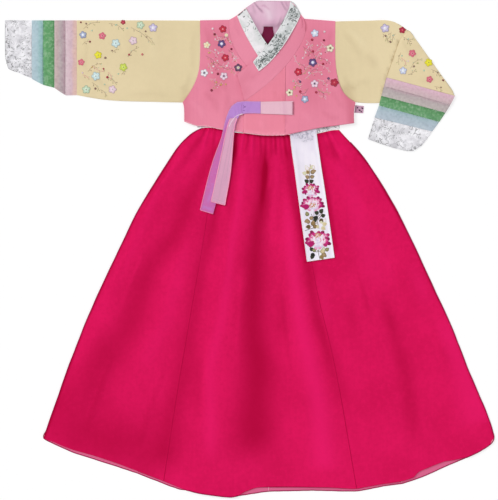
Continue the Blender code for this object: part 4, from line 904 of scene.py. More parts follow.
setUpStudio()
finishes = makeFinishes()
for side, rows in stripes.items():
    for stripe, (start, end, bands) in rows.items():
        finishes[stripe + "_" + side] = stripeFinish(stripe + side.capitalize(), start, end, bands,
                                                     stripeGlitter[stripe])
print("studio and finishes ready")


def wear(piece, finish):
    piece.data.materials.clear()
    piece.data.materials.append(finishes[finish])


pieces = {}
for node, (rounds, step, finish, flat, held) in clothPieces.items():
    piece = cutFrom(node, rounds, step)
    applyCreases(piece, node)
    wear(piece, finish)
    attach(piece, "root")
    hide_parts(node)
    pieces[node] = piece
print("cloth laid out")

probe = {
    "from": 0.1,           # rays look down from this height, in metres
    "rings": (0.8, 1.6, 2.6, 4.0),   # where to look again when a ray finds no cloth
    "step": 0.0012,        # a sequin bends over a step in the cloth lower than this
    "thickest": 1.15,      # a large flower grows no thicker than this many times
    "floor": 0.00015,      # nothing sinks into the floor
}
nearby = [(0, 0)] + [(reach * math.cos(turn), reach * math.sin(turn)) for reach in probe["rings"]
                     for turn in np.linspace(0, 2 * math.pi, 8, endpoint=False)]


# What the trims, the sewing and the sequins lie on: a tree for each of these nodes.
def shownSurface(names):
    meshes = [pieces[name].data for name in names]
    return [BVHTree.FromPolygons([vertex.co for vertex in mesh.vertices],
                                 [face.vertices for face in mesh.polygons]) for mesh in meshes]


def hitsBelow(trees, x, y):
    hits = [tree.ray_cast(Vector((x, y, probe["from"])), Vector((0, 0, -1)))[0] for tree in trees]
    return [hit.z for hit in hits if hit is not None]


def heightOn(trees, x, y):
    for offX, offY in nearby:
        hits = hitsBelow(trees, x + offX * mm, y + offY * mm)
        if hits:
            return max(hits)
    return 0.0


def layOn(piece, trees, lift=0.0):
    for vertex in piece.data.vertices:
        own = heightOn(trees, vertex.co.x, vertex.co.y) + lift * mm
        vertex.co.z = max(vertex.co.z + own, probe["floor"])


def settle(piece, name=None):
    if name:
        piece.name = name
    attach(piece, "root")
    return piece


def joined(parts):
    chooseOnly(*parts)
    bpy.ops.object.join()
    return bpy.context.object


def paintTint(piece, colours):
    paint = piece.data.attributes.new("tint", "FLOAT_COLOR", "POINT")
    paint.data.foreach_set("color", np.array([(*colour, 1.0) for colour in colours]).ravel())


def titled(node):
    return node.title().replace("_", "")


cutMiddle = (0.2, -0.7)


# From the tables of the cut, whose middle is a little off, to places on the garment.
def shifted(points):
    return [(x + cutMiddle[0], y + cutMiddle[1]) for x, y in points]


# A line of thread, piping or rolled edge through points, one for each stroke.
def sewnLine(name, strokes, radius, colour, trees, lift=0.0, finish="thread", flatten=0.7, sides=1,
             first=1.0):
    curve = bpy.data.curves.new(name, "CURVE")
    curve.dimensions = "3D"
    curve.bevel_depth = radius * mm
    curve.bevel_resolution = sides
    curve.resolution_u = 5
    curve.use_fill_caps = True
    for points in strokes:
        spline = curve.splines.new("BEZIER")
        spline.bezier_points.add(len(points) - 1)
        for knot, (x, y), width in zip(spline.bezier_points, points, np.linspace(first, 1, len(points))):
            knot.co = (x * mm, y * mm, 0)
            knot.radius = width
            knot.handle_left_type = knot.handle_right_type = "AUTO"
    piece = bpy.data.objects.new(name, curve)
    bpy.context.scene.collection.objects.link(piece)
    chooseOnly(piece)
    bpy.ops.object.convert(target="MESH")
    piece = bpy.context.object
    for vertex in piece.data.vertices:
        vertex.co.z *= flatten
    layOn(piece, trees, lift)
    paintTint(piece, [colour] * len(piece.data.vertices))
    wear(piece, finish)
    bpy.ops.object.shade_smooth()
    return piece


search = {"step": 0.4, "most": 340, "left": -400, "right": 472, "below": -480, "sleeve": 420}


# Where the cloth begins, found by stepping in from outside it, and a little further in.
def edgeFrom(trees, x, y, wayX, wayY, further=0.0):
    for away in np.arange(0, search["most"], search["step"]):
        if hitsBelow(trees, (x + away * wayX) * mm, (y + away * wayY) * mm):
            return x + (away + further) * wayX, y + (away + further) * wayY
    return None


# A dark edge all round the skirt: painted shade down its left side where the cloth turns under, a rolled hem
# along the hem, and painted shade up its right side.
def skirtRim(trees):
    heights = [229, 225, 220] + list(range(213, -350, -18))
    left = [edgeFrom(trees, search["left"], y, 1, 0) for y in heights]
    hem = [edgeFrom(trees, x, search["below"], 0, 1) for x in range(-386, 447, 9)]
    right = [edgeFrom(trees, search["right"], y, -1, 0) for y in range(-338, 215, 18)]
    corners = [(-391.9, -358.4)], [(453.5, -373.2), (460.2, -366.6), (463.2, -358.4), (460.9, -347.6)]
    return [spot for spot in left + corners[0] + hem + corners[1] + right if spot]


skirtSeamLines = [[(-71, 228), (-71, 180), (-82, 61), (-108.5, -96.5), (-144.5, -309.5), (-164, -439)],
                  [(94.5, 215), (104, 110), (118, -32), (161, -223.5), (202, -454)]]
edgeLines = {   # radius, lift, finish, how flat
    "skirtRim": (1.1, -0.4, "crimsonEdge", 0.75),
    "hemOfTheFront": (0.7, -0.5, "hemSilk", 0.8),
    "skirtSeams": (1.2, -0.55, "seamSilk", 0.8),
    "forearmEdge": (0.6, -0.35, "thread", 0.7),
}
sleeveEdgeTint = (0.42, 0.33, 0.21)
hemAbove = 0.6        # the front's hem is sewn this far in from its edge
seamStart = 0.55      # thickness of a skirt seam at the band, as a share of what it is at the hem


def sewEdge(name, strokes, trees, slot, colour=(0, 0, 0), **options):
    radius, lift, finish, flatten = edgeLines[name]
    settle(sewnLine(name, strokes, radius, colour, trees, lift, finish, flatten, **options))


def makeEdges():
    fronts = shownSurface(["skirt_front_middle", "skirt_side_left", "skirt_side_right"])
    everySide = fronts + shownSurface(["skirt_back_left", "skirt_back_right"])
    sewEdge("skirtRim", [skirtRim(everySide)], everySide, "skirt_back_left", sides=2)
    across = [-388] + list(range(-372, 456, 12)) + [458]
    caught = [(x, between(hemOfFront, x) + between(hemLifts, x) + between(hemDrop, x) + hemAbove)
              for x in across]
    sewEdge("hemOfTheFront", [shifted(caught)], fronts, "skirt_front_middle", sides=2)
    seams = [shifted(line) for line in skirtSeamLines]
    sewEdge("skirtSeams", seams, fronts, "skirt_front_middle", first=seamStart)
    sleeve = shownSurface(["sleeve_right"])
    outer = [edgeFrom(sleeve, search["sleeve"], y, -1, 0, 0.5) for y in range(427, 291, -9)]
    sewEdge("forearmEdge", [outer], sleeve, "sleeve_right", sleeveEdgeTint)


def pickFaces(wanted):
    mesh = bmesh.from_edit_mesh(bpy.context.object.data)
    for face in mesh.faces:
        face.select = wanted(face)
    mesh.select_flush_mode()
    bmesh.update_edit_mesh(bpy.context.object.data)


domeStages = (0.7, 0.3)   # shares of a dome's height that its drawn-in top and its point take


# A small domed pad: a disc with its top drawn in, raised and gathered to a point in the middle.
def domedPad(sides, radius, thickness, dome, at=(0.0, 0.0), stretch=(1.0, 1.0), turn=0.0, part=0,
             shrink=0.42, twoTone=False, taper=0.0):
    bpy.ops.mesh.primitive_cylinder_add(vertices=sides, radius=radius * mm, depth=thickness * mm,
                                        end_fill_type="NGON", location=(0, 0, thickness * mm / 2))
    pad = bpy.context.object
    bpy.ops.object.transform_apply(location=True)
    bpy.ops.object.mode_set(mode="EDIT")
    bpy.ops.mesh.select_mode(type="FACE")
    pickFaces(lambda face: face.normal.z > 0.9)
    bpy.ops.mesh.inset(thickness=radius * shrink * mm)
    bpy.ops.transform.translate(value=(0, 0, dome * domeStages[0] * mm))
    bpy.ops.mesh.poke(offset=dome * domeStages[1] * mm)
    bpy.ops.object.mode_set(mode="OBJECT")
    inside = [math.hypot(vertex.co.x, vertex.co.y) < radius * (1 - shrink * 0.8) * mm
              for vertex in pad.data.vertices]
    for vertex in pad.data.vertices:
        vertex.co.y *= 1 - taper * max(vertex.co.x / (radius * mm), -0.2)
    place = Matrix.Translation((at[0] * mm, at[1] * mm, 0)) @ Matrix.Rotation(turn, 4, "Z")
    pad.data.transform(place @ Matrix.Diagonal((stretch[0], stretch[1], 1, 1)))
    marks = pad.data.attributes.new("part", "INT", "POINT")
    marks.data.foreach_set("value", [part + (within and twoTone) for within in inside])
    return pad


# radii, thicknesses and heights of the domes
flowerShape = {
    "petals": 5, "petalOut": 4.05, "petalRadius": 3.95, "petalThick": 0.55, "petalStretch": (1.0, 0.9),
    "petalInset": 0.38, "heartRadius": 2.9, "heartThick": 0.95, "dome": 0.35,
    "beadRadius": 1.4, "beadThick": 1.5, "beadDome": 0.5,
}
beadShape = {
    "radius": 1.9, "thick": 0.6, "dome": 0.7, "inset": 0.35,
    "glintRadius": 0.5, "glintThick": 1.25, "glintDome": 0.2, "glintAt": (0.3, 0.3),
}


def modelFlower():
    shape = flowerShape
    parts = []
    for petal in range(shape["petals"]):
        turn = 2 * math.pi * petal / shape["petals"]
        at = (shape["petalOut"] * math.cos(turn), shape["petalOut"] * math.sin(turn))
        parts.append(domedPad(8, shape["petalRadius"], shape["petalThick"], shape["dome"], at,
                              shape["petalStretch"], turn, shrink=shape["petalInset"], twoTone=True))
    parts.append(domedPad(10, shape["heartRadius"], shape["heartThick"], shape["dome"], part=2))
    parts.append(domedPad(8, shape["beadRadius"], shape["beadThick"], shape["beadDome"], part=3))
    return joined(parts)


# A bead with a small lighter dome on it, a painted glint.
def modelBead():
    shape = beadShape
    bead = domedPad(8, shape["radius"], shape["thick"], shape["dome"], shrink=shape["inset"])
    glint = domedPad(6, shape["glintRadius"], shape["glintThick"], shape["glintDome"], shape["glintAt"],
                     part=1)
    return joined([bead, glint])


# A copy of a flower, bead or stitch, laid on the cloth, with a tint for each of its parts.
def copyOf(model, x, y, size, turn, tints, trees, lift=0.02, stretch=(1.0, 1.0)):
    made = model.copy()
    made.data = model.data.copy()
    bpy.context.scene.collection.objects.link(made)
    rounds = Matrix.Diagonal((size * stretch[0], size * stretch[1], min(size, probe["thickest"]), 1))
    made.data.transform(Matrix.Translation((x * mm, y * mm, 0)) @ Matrix.Rotation(turn, 4, "Z") @ rounds)
    parts = [mark.value for mark in made.data.attributes["part"].data]
    paintTint(made, [tints[min(part, len(tints) - 1)] for part in parts])
    base = heightOn(trees, x * mm, y * mm)
    for vertex in made.data.vertices:
        own = heightOn(trees, vertex.co.x, vertex.co.y)
        vertex.co.z += (own if abs(own - base) < probe["step"] else base) + lift * mm
    return made


# outline, petals, heart, bead
flowerTints = {
    "red": ((0.2, 0, 0.03), (0.5, 0.003, 0.035), (0.66, 0.02, 0.06), (0.82, 0.36, 0.4)),
    "deepRed": ((0.16, 0, 0.02), (0.42, 0.004, 0.04), (0.52, 0.02, 0.06), (0.66, 0.15, 0.18)),
    "plum": ((0.03, 0.006, 0.06), (0.11, 0.05, 0.2), (0.66, 0.64, 0.84), (0.9, 0.9, 0.95)),
    "plumDark": ((0.035, 0.005, 0.03), (0.13, 0.04, 0.11), (0.72, 0.66, 0.62), (0.7, 0.55, 0.22)),
    "white": ((0.34, 0.24, 0.3), (0.84, 0.82, 0.86), (0.42, 0.4, 0.46), (0.02, 0.005, 0.02)),
    "pinkWhite": ((0.36, 0.18, 0.28), (0.84, 0.66, 0.76), (0.5, 0.36, 0.48), (0.03, 0.005, 0.02)),
    "cream": ((0.36, 0.24, 0.18), (0.84, 0.78, 0.6), (0.5, 0.42, 0.24), (0.02, 0.008, 0.01)),
    "gold": ((0.36, 0.2, 0.18), (0.84, 0.74, 0.56), (0.8, 0.62, 0.16), (0.94, 0.92, 0.86)),
    "blue": ((0.1, 0.11, 0.22), (0.36, 0.42, 0.6), (0.74, 0.8, 0.9), (0.92, 0.94, 0.96)),
    "paleBlue": ((0.24, 0.22, 0.34), (0.6, 0.66, 0.82), (0.8, 0.86, 0.92), (0.95, 0.96, 0.97)),
    "cyan": ((0.28, 0.32, 0.34), (0.58, 0.76, 0.76), (0.76, 0.9, 0.88), (0.4, 0.5, 0.5)),
    "green": ((0.24, 0.3, 0.18), (0.54, 0.7, 0.5), (0.74, 0.86, 0.72), (0.34, 0.42, 0.28)),
    "lime": ((0.3, 0.34, 0.06), (0.58, 0.68, 0.08), (0.72, 0.84, 0.2), (0.4, 0.46, 0.08)),
    "yellow": ((0.42, 0.36, 0.04), (0.8, 0.74, 0.01), (0.88, 0.84, 0.06), (0.48, 0.44, 0.06)),
    "lavender": ((0.24, 0.19, 0.28), (0.58, 0.52, 0.74), (0.84, 0.8, 0.9), (0.95, 0.95, 0.97)),
    "blush": ((0.38, 0.24, 0.3), (0.8, 0.6, 0.68), (0.88, 0.76, 0.8), (0.55, 0.4, 0.45)),
    "coral": ((0.46, 0.12, 0.16), (0.7, 0.13, 0.2), (0.8, 0.3, 0.36), (0.42, 0.02, 0.06)),
}
# a bead's colour, and the lighter colour of its glint, a painted highlight
beadTints = {
    "wine": ((0.19, 0, 0.026), (0.42, 0.08, 0.11)), "ruby": ((0.34, 0.002, 0.035), (0.66, 0.16, 0.2)),
    "pearl": ((0.78, 0.58, 0.64), (0.95, 0.9, 0.92)), "brown": ((0.22, 0.12, 0.09), (0.5, 0.36, 0.28)),
    "mint": ((0.42, 0.58, 0.42), (0.8, 0.9, 0.8)), "plum": ((0.12, 0.03, 0.13), (0.5, 0.4, 0.5)),
    "gold": ((0.6, 0.38, 0.08), (0.9, 0.8, 0.5)), "coralBead": ((0.58, 0.12, 0.12), (0.85, 0.5, 0.5)),
    "olivine": ((0.38, 0.4, 0.14), (0.7, 0.72, 0.4)),
}
# a twig's thread, and the beads that end its sprigs, by turns
twigTints = {"silver": (0.72, 0.54, 0.57), "olive": (0.50, 0.38, 0.23), "twigBrown": (0.42, 0.31, 0.21),
             "rose": (0.72, 0.34, 0.32), "mulberry": (0.45, 0.17, 0.215)}
tipBeads = {"jacket": ("pearl", "gold", "pearl", "ruby"), "sleeve": ("olivine", "brown", "mint")}
sewing = {"firstTurn": 0.5, "flowerTurn": 0.9, "beadTurn": 0.8, "beadSize": 1.15, "tipSize": 0.42,
          "twigRadius": 0.36, "sprig": 2.6, "sprigLonger": 0.5, "sprigBend": 0.4}

# Each panel's sequins: flowers and beads as (x, y, tint, size), and for each colour of thread its
# twigs as (start x, y, end x, y, bend, side sprigs).
scatter = {
    "jacket_front_left": {
        "flowers": [
            (-51.6, 417, "red", 0.95), (-82, 386.5, "gold", 0.92), (-54, 389, "plum", 1),
            (-47, 362.5, "red", 0.95), (-22.5, 343.5, "plumDark", 1), (-87, 333.7, "white", 1),
            (-49.7, 327.6, "pinkWhite", 1), (-45, 405.5, "gold", 0.5)],
        "beads": [
            (-67.3, 407, "wine", 1.1), (-35.4, 379, "wine", 1), (-61, 332, "wine", 1.1),
            (-73, 300.4, "wine", 1.1), (-71, 417.7, "pearl", 1), (-66, 377.5, "pearl", 0.9),
            (-69.4, 346, "pearl", 0.9), (-43.8, 347, "pearl", 1), (-72.3, 334, "pearl", 1),
            (-60, 371, "pearl", 0.8), (-78, 372, "gold", 0.8), (-62, 357, "pearl", 0.8),
            (-30, 361, "pearl", 0.8), (-55, 311, "gold", 0.9), (-64, 316, "gold", 0.8),
            (-46, 312, "gold", 0.7), (-66, 398, "pearl", 0.7), (-38, 394, "pearl", 0.7)],
        "twigs": {
            "twigBrown": [(-42, 404, -36, 388, -2, 2)],
            "mulberry": [
                (-84, 366, -66, 352, 2, 3), (-76, 360, -60, 340, -2, 3), (-42, 378, -31, 364, 2, 3),
                (-60, 350, -48, 340, 2, 2), (-58, 402, -40, 398, 2, 3), (-48, 342, -32, 344, -2, 3),
                (-70, 322, -62, 306, 2, 2)],
            "olive": [(-76, 346, -60, 354, 3, 3), (-72, 302, -52, 314, 4, 4), (-38, 340, -30, 330, 2, 2)],
            "silver": [
                (-80, 378, -62, 364, 3, 3), (-66, 378, -50, 372, -2, 2), (-60, 346, -40, 352, -3, 4),
                (-36, 372, -26, 356, 3, 3), (-70, 412, -60, 396, 2, 2), (-78, 322, -66, 318, 2, 2),
                (-34, 354, -22, 362, 2, 2), (-68, 396, -46, 400, -2, 3), (-80, 352, -74, 336, 2, 2)],
        },
    },
    "jacket_front_right": {
        "flowers": [
            (123, 409, "paleBlue", 1), (152, 380.6, "cream", 1), (119, 353.5, "plum", 1.05),
            (91.5, 335.5, "red", 1), (122.5, 313, "pinkWhite", 1), (160, 315.2, "deepRed", 1.05),
            (104, 283.5, "blue", 0.95), (75, 296, "cream", 0.95)],
        "beads": [
            (117.7, 396.6, "ruby", 1.1), (140.3, 395.8, "wine", 1), (119.2, 374.5, "ruby", 1.1),
            (138.4, 350.6, "ruby", 1.1), (94.7, 316.8, "plum", 1.1), (148.7, 323.2, "plum", 1.1),
            (95, 298, "ruby", 1.1), (125.5, 296.6, "ruby", 1.1), (134.8, 370, "pearl", 0.9),
            (141.3, 412, "pearl", 1), (112, 334, "pearl", 1), (106, 372, "pearl", 0.8),
            (100, 362, "pearl", 0.8), (84, 306, "gold", 0.8), (136, 331, "pearl", 0.8),
            (146, 303, "pearl", 0.7), (108, 388, "pearl", 0.7), (128, 386, "pearl", 0.7),
            (146, 358, "pearl", 0.8), (82, 318, "mint", 0.7), (88, 290, "gold", 0.7)],
        "twigs": {
            "mulberry": [
                (100, 384, 114, 366, 3, 3), (112, 380, 134, 360, -3, 4), (130, 362, 152, 350, 3, 4),
                (90, 352, 106, 342, 2, 3), (112, 330, 128, 342, 3, 3), (136, 312, 152, 322, -2, 3),
                (84, 312, 96, 320, 2, 2), (110, 304, 98, 292, 2, 3), (128, 300, 142, 290, 2, 3)],
            "olive": [(126, 306, 152, 296, -4, 5), (80, 300, 98, 312, 3, 4), (98, 330, 112, 346, -2, 3)],
            "silver": [
                (102, 362, 118, 388, 4, 5), (106, 344, 132, 372, -4, 5), (126, 352, 152, 336, 3, 5),
                (96, 346, 84, 366, 2, 3), (104, 322, 136, 336, 5, 5), (128, 322, 146, 308, 3, 4),
                (134, 392, 146, 372, 3, 3), (84, 322, 96, 306, -2, 2), (130, 290, 144, 284, 2, 2),
                (126, 374, 144, 384, 3, 3), (106, 396, 116, 380, 2, 2)],
        },
    },
    "sleeve_left": {
        "flowers": [
            (-317, 406, "blue", 0.92), (-280.5, 404, "coral", 0.92), (-255, 390, "cyan", 1.08),
            (-222, 395, "blush", 1.05), (-184, 419.5, "lavender", 1.08), (-208, 424.5, "green", 1),
            (-241, 430, "deepRed", 0.62), (-288.5, 367.7, "yellow", 0.95), (-320.5, 354, "coral", 0.85),
            (-240.5, 344.5, "lime", 1), (-292.7, 327.6, "cyan", 1.1), (-311, 302.2, "green", 1.05),
            (-261.3, 302.5, "blush", 1)],
        "beads": [
            (-304, 393, "wine", 0.9), (-274.6, 362.6, "brown", 1), (-229.6, 368.3, "ruby", 0.9),
            (-204.5, 368.8, "coralBead", 1), (-270.8, 325.5, "ruby", 1.1), (-278, 341.5, "ruby", 0.8),
            (-293.6, 304, "brown", 1), (-321.2, 430, "wine", 0.8), (-311, 427.4, "brown", 0.8),
            (-255, 424.7, "mint", 0.8), (-233.4, 418.6, "mint", 0.8), (-198.2, 412.7, "brown", 0.8),
            (-318, 334, "pearl", 0.8), (-262, 376, "brown", 0.7), (-250, 332, "mint", 0.7),
            (-276, 312, "mint", 0.7), (-300, 414, "mint", 0.7), (-300, 345, "gold", 0.7)],
        "twigs": {
            "twigBrown": [
                (-268, 428, -240, 414, 4, 4), (-226, 420, -188, 392, 3, 5), (-232, 364, -212, 382, 3, 4),
                (-272, 326, -254, 312, 3, 4), (-284, 302, -272, 290, 2, 3)],
            "olive": [
                (-316, 418, -286, 430, 4, 4), (-200, 408, -182, 388, 2, 3), (-318, 388, -304, 394, 2, 2),
                (-262, 372, -250, 378, 2, 2), (-308, 336, -282, 352, 4, 5), (-300, 316, -286, 300, 2, 3),
                (-244, 330, -236, 336, 2, 2)],
            "rose": [
                (-300, 348, -276, 336, -3, 4), (-318, 330, -306, 322, 2, 2), (-270, 336, -262, 320, 2, 3)],
        },
    },
    "sleeve_right": {
        "flowers": [
            (256.2, 418.6, "lavender", 1.1), (289, 415, "deepRed", 0.85), (307.7, 370.6, "coral", 0.95),
            (338.7, 353.1, "yellow", 1), (290.2, 337.7, "paleBlue", 0.95), (340.4, 321.2, "coral", 0.85)],
        "beads": [
            (366, 319.6, "wine", 0.9), (257.2, 404.2, "brown", 0.9), (266.5, 392.6, "brown", 0.9),
            (310.8, 345.9, "brown", 0.9), (272, 405, "mint", 0.7), (300, 398, "mint", 0.7),
            (318, 352, "olivine", 0.7), (330, 338, "mint", 0.8), (300, 356, "pearl", 0.7),
            (356, 334, "brown", 0.7), (288, 366, "mint", 0.7), (362, 306, "brown", 0.7)],
        "twigs": {
            "twigBrown": [
                (252, 408, 262, 392, 2, 4), (276, 408, 270, 394, -2, 3), (290, 402, 304, 386, 3, 4),
                (300, 330, 314, 340, -2, 3), (344, 340, 360, 326, 3, 4)],
            "olive": [
                (268, 412, 260, 396, 2, 3), (298, 394, 312, 396, 2, 2), (304, 342, 326, 360, 4, 5),
                (286, 372, 282, 350, -2, 3), (350, 308, 364, 300, 2, 3)],
            "rose": [(286, 362, 296, 348, 3, 3)],
        },
    },
}


# A twig of running stitches, with short side stitches by turns to the left and to the right.
def twigStrokes(startX, startY, endX, endY, bend, sprigs):
    start, end = np.array((startX, startY), float), np.array((endX, endY), float)
    way = end - start
    side = np.array((-way[1], way[0])) / np.linalg.norm(way)
    strokes = [[tuple(start), tuple((start + end) / 2 + side * bend), tuple(end)]]
    for k in range(sprigs):
        share = (k + 0.7) / (sprigs + 0.4)
        root = start + way * share + side * bend * 4 * share * (1 - share) * 0.5
        turn = 1 if k % 2 else -1
        outward = side * turn * (sewing["sprig"] + sewing["sprigLonger"] * (k % 3))
        tip = root + way / np.linalg.norm(way) * sewing["sprig"] + outward
        middle = (root + tip) / 2 + side * turn * sewing["sprigBend"]
        strokes.append([tuple(root), tuple(middle), tuple(tip)])
    return strokes


def makeScatter():
    flower, bead = modelFlower(), modelBead()
    for node, panel in scatter.items():
        trees = shownSurface([node])
        tips = tipBeads[node.split("_")[0]]
        flowers, beads, threads = [], [], []
        for k, (x, y, tint, size) in enumerate(panel["flowers"]):
            turn = sewing["firstTurn"] + sewing["flowerTurn"] * k
            flowers.append(copyOf(flower, x, y, size, turn, flowerTints[tint], trees))
        for k, (x, y, tint, size) in enumerate(panel["beads"]):
            size *= sewing["beadSize"]
            beads.append(copyOf(bead, x, y, size, sewing["beadTurn"] * k, beadTints[tint], trees))
        for colour, twigs in panel["twigs"].items():
            strokes = []
            for twig in twigs:
                ownStrokes = twigStrokes(*twig)
                strokes += ownStrokes
                for k, stroke in enumerate(ownStrokes):
                    tint = beadTints[tips[k % len(tips)]]
                    beads.append(copyOf(bead, *stroke[-1], sewing["tipSize"], 0.0, tint, trees))
            threads.append(sewnLine("twig", strokes, sewing["twigRadius"], twigTints[colour], trees))
        for name, parts in (("sequinFlowers", flowers), ("beads", beads), ("twigs", threads)):
            piece = settle(joined(parts), name + titled(node))
            wear(piece, "thread" if name == "twigs" else "sequin")
    for model in (flower, bead):
        bpy.data.objects.remove(model)


silks = {
    "magenta": (0.44, 0.002, 0.13), "cerise": (0.6, 0.012, 0.2), "rose": (0.74, 0.1, 0.32),
    "pink": (0.84, 0.34, 0.55), "blush": (0.88, 0.58, 0.74), "white": (0.9, 0.82, 0.89),
    "lilacWhite": (0.76, 0.64, 0.84), "apricot": (0.74, 0.27, 0.16), "gold": (0.29, 0.18, 0.07),
    "paleGold": (0.68, 0.56, 0.33), "olive": (0.12, 0.085, 0.035), "leafGreen": (0.035, 0.04, 0.018),
    "darkLeaf": (0.012, 0.012, 0.008), "moss": (0.32, 0.31, 0.14), "stem": (0.14, 0.11, 0.11),
    "plum": (0.24, 0, 0.07), "paleLeaf": (0.7, 0.7, 0.5), "tan": (0.38, 0.26, 0.14),
}

# Rings of a peony from outside in: petals, where they start, their length and width as shares of
# the flower, how far round they go, how high they lie, then the silks of tip and root of every
# other petal, of the petals between, and of those that point down.
peonyRings = [
    (13, 0.19, 0.31, 0.165, 0.25, 0, ("plum", "cerise"), ("magenta", "pink"), ("pink", "lilacWhite")),
    (12, 0.14, 0.26, 0.13, 0.7, 0.2, ("magenta", "blush"), ("rose", "white"), ("lilacWhite", "white")),
    (10, 0.07, 0.22, 0.13, 0.1, 0.36, ("rose", "white"), ("blush", "white"), ("white", "lilacWhite")),
    (7, 0, 0.15, 0.12, 0.4, 0.52, ("pink", "white"), ("blush", "lilacWhite"), ("white", "lilacWhite")),
]
# how far above the middle the gold threads are, as a share of the height, and which way the broad
# solid petals point, in degrees
peonies = [
    {"middle": (115, 111.5), "size": (35, 27), "goldUp": 0.14, "broad": (200, 345)},
    {"middle": (118.5, 85.5), "size": (46, 29), "goldUp": -0.1, "broad": (208, 226)},
    {"middle": (129, 17), "size": (50, 37), "goldUp": 0.24, "broad": (212, 224)},
]
# root, length, direction in degrees, silk of its edge and of its middle
sashLeaves = [
    (111, 126, 8.5, 150, "darkLeaf", "leafGreen"), (113, 126, 8, 28, "darkLeaf", "leafGreen"),
    (112, 134, 8, 150, "gold", "tan"), (114, 135, 8, 20, "olive", "tan"),
    (112, 142, 8, 130, "paleGold", "gold"), (115, 143, 9, 35, "olive", "tan"),
    (117, 146, 8, 15, "gold", "tan"), (110, 148, 9, 110, "paleGold", "white"),
    (115, 151, 8, 62, "paleGold", "paleLeaf"), (107, 142, 8, 165, "paleGold", "paleLeaf"),
    (109, 152, 7, 130, "paleLeaf", "white"), (119, 151, 7, 75, "paleGold", "white"),
    (132, 68, 9, 48, "darkLeaf", "leafGreen"), (130, 66, 8.5, 150, "darkLeaf", "leafGreen"),
    (135, 61, 8, 25, "darkLeaf", "leafGreen"), (129, 58, 9, 172, "darkLeaf", "darkLeaf"),
    (131, 54, 9.5, -12, "darkLeaf", "olive"), (126, 55, 7.5, 205, "darkLeaf", "leafGreen"),
    (110, 62, 8.5, 115, "olive", "moss"), (113, 56, 8, 35, "olive", "tan"),
    (112, 54, 9, 200, "gold", "tan"), (114, 50, 8, 165, "olive", "tan"),
    (116, 45, 9.5, 40, "olive", "gold"), (115, 42, 9, 185, "gold", "olive"),
    (119, 42, 9, 5, "olive", "gold"), (120, 48, 7, 80, "gold", "tan"),
    (134, 48, 8, 70, "paleGold", "paleLeaf"), (137, 45, 9, 22, "paleLeaf", "paleGold"),
    (135, 41, 9, -30, "paleLeaf", "paleGold"), (139, 50, 8, 58, "paleLeaf", "white"),
    (131, 43, 7.5, 200, "paleLeaf", "paleGold"), (119, -4, 8, 128, "darkLeaf", "leafGreen"),
    (122, -9, 9.5, 225, "darkLeaf", "darkLeaf"), (125, -4, 8, 160, "olive", "moss"),
    (119, -12, 8, 250, "darkLeaf", "leafGreen"), (133, -6, 9.5, 12, "moss", "paleGold"),
    (136, -9, 10, -32, "olive", "tan"), (134, -12, 9, -62, "moss", "gold"),
    (143, -4, 8, 40, "olive", "moss"), (139, -4, 7, 80, "moss", "paleLeaf"),
]
sashStems = {
    "stem": [
        [(131, 2), (130, -8), (133, -22)], [(116, 66), (119, 58), (117, 42)],
        [(127, 68), (127, 54), (131, 38)], [(104, 34), (112, 37), (124, 40)],
        [(113, 122), (113, 134), (113, 148)], [(113, 128), (108, 130)], [(127, 60), (134, 66), (138, 72)],
        [(121, 70), (121, 62), (120, 56)]],
    "gold": [
        [(113, 148), (114, 154), (114, 160)], [(118, 50), (124, 48), (128, 50)],
        [(126, -2), (136, -8), (144, -16)]],
    "olive": [
        [(128, 54), (134, 62), (138, 70)], [(120, -4), (126, -6), (130, -4)]],
    "lilacWhite": [
        [(120, 76), (121, 68), (120, 60)], [(136, 32), (140, 38), (143, 48)]],
}


stitches = {
    "length": 10, "tipFrom": 6.2,     # of the petal and the leaf that are copied
    "thick": 0.3, "inset": 0.45, "petalTaper": -0.3, "leafTaper": 0.6, "leafSize": (0.108, 0.092),
    "lift": 0.05, "stemRadius": 0.5, "stemLift": 0.1,
    "uneven": 0.16, "palerBelow": -0.72,
    # start, length and breadth as shares of the flower, height and silks
    "broadPetal": (0.17, 0.33, 0.17, 0.5, ("magenta", "magenta")),
    "knots": 9, "knotTurn": 2.4, "knotSize": (0.32, 0.28), "knotLift": 0.76,
}


# A satin-stitched shape: a petal is darker towards its tip, a leaf round its edge.
def modelStitchedShape(taper, tipped=False):
    half = stitches["length"] / 2
    shape = domedPad(10, half, stitches["thick"], stitches["thick"], (half, 0), shrink=stitches["inset"],
                     twoTone=True, taper=taper)
    if tipped:
        for mark, vertex in zip(shape.data.attributes["part"].data, shape.data.vertices):
            mark.value = int(vertex.co.x < stitches["tipFrom"] * mm)
    return shape


def stitched(model, x, y, turn, names, trees, lift, stretch):
    return copyOf(model, x, y, 1.0, turn, [silks[name] for name in names], trees, lift, stretch)


# One petal, laid out from the middle of its peony; its length and width are shares of the flower.
def stitchPetal(petal, peony, turn, start, length, breadth, names, trees, lift):
    (middleX, middleY), (width, height) = peony["middle"], peony["size"]
    outX, outY = width * math.cos(turn), height * math.sin(turn)
    whole = stitches["length"]
    stretch = (length * math.hypot(outX, outY) / whole, breadth * (width + height) / 2 / whole)
    return stitched(petal, middleX + start * outX, middleY + start * outY, math.atan2(outY, outX), names,
                    trees, stitches["lift"] + lift, stretch)


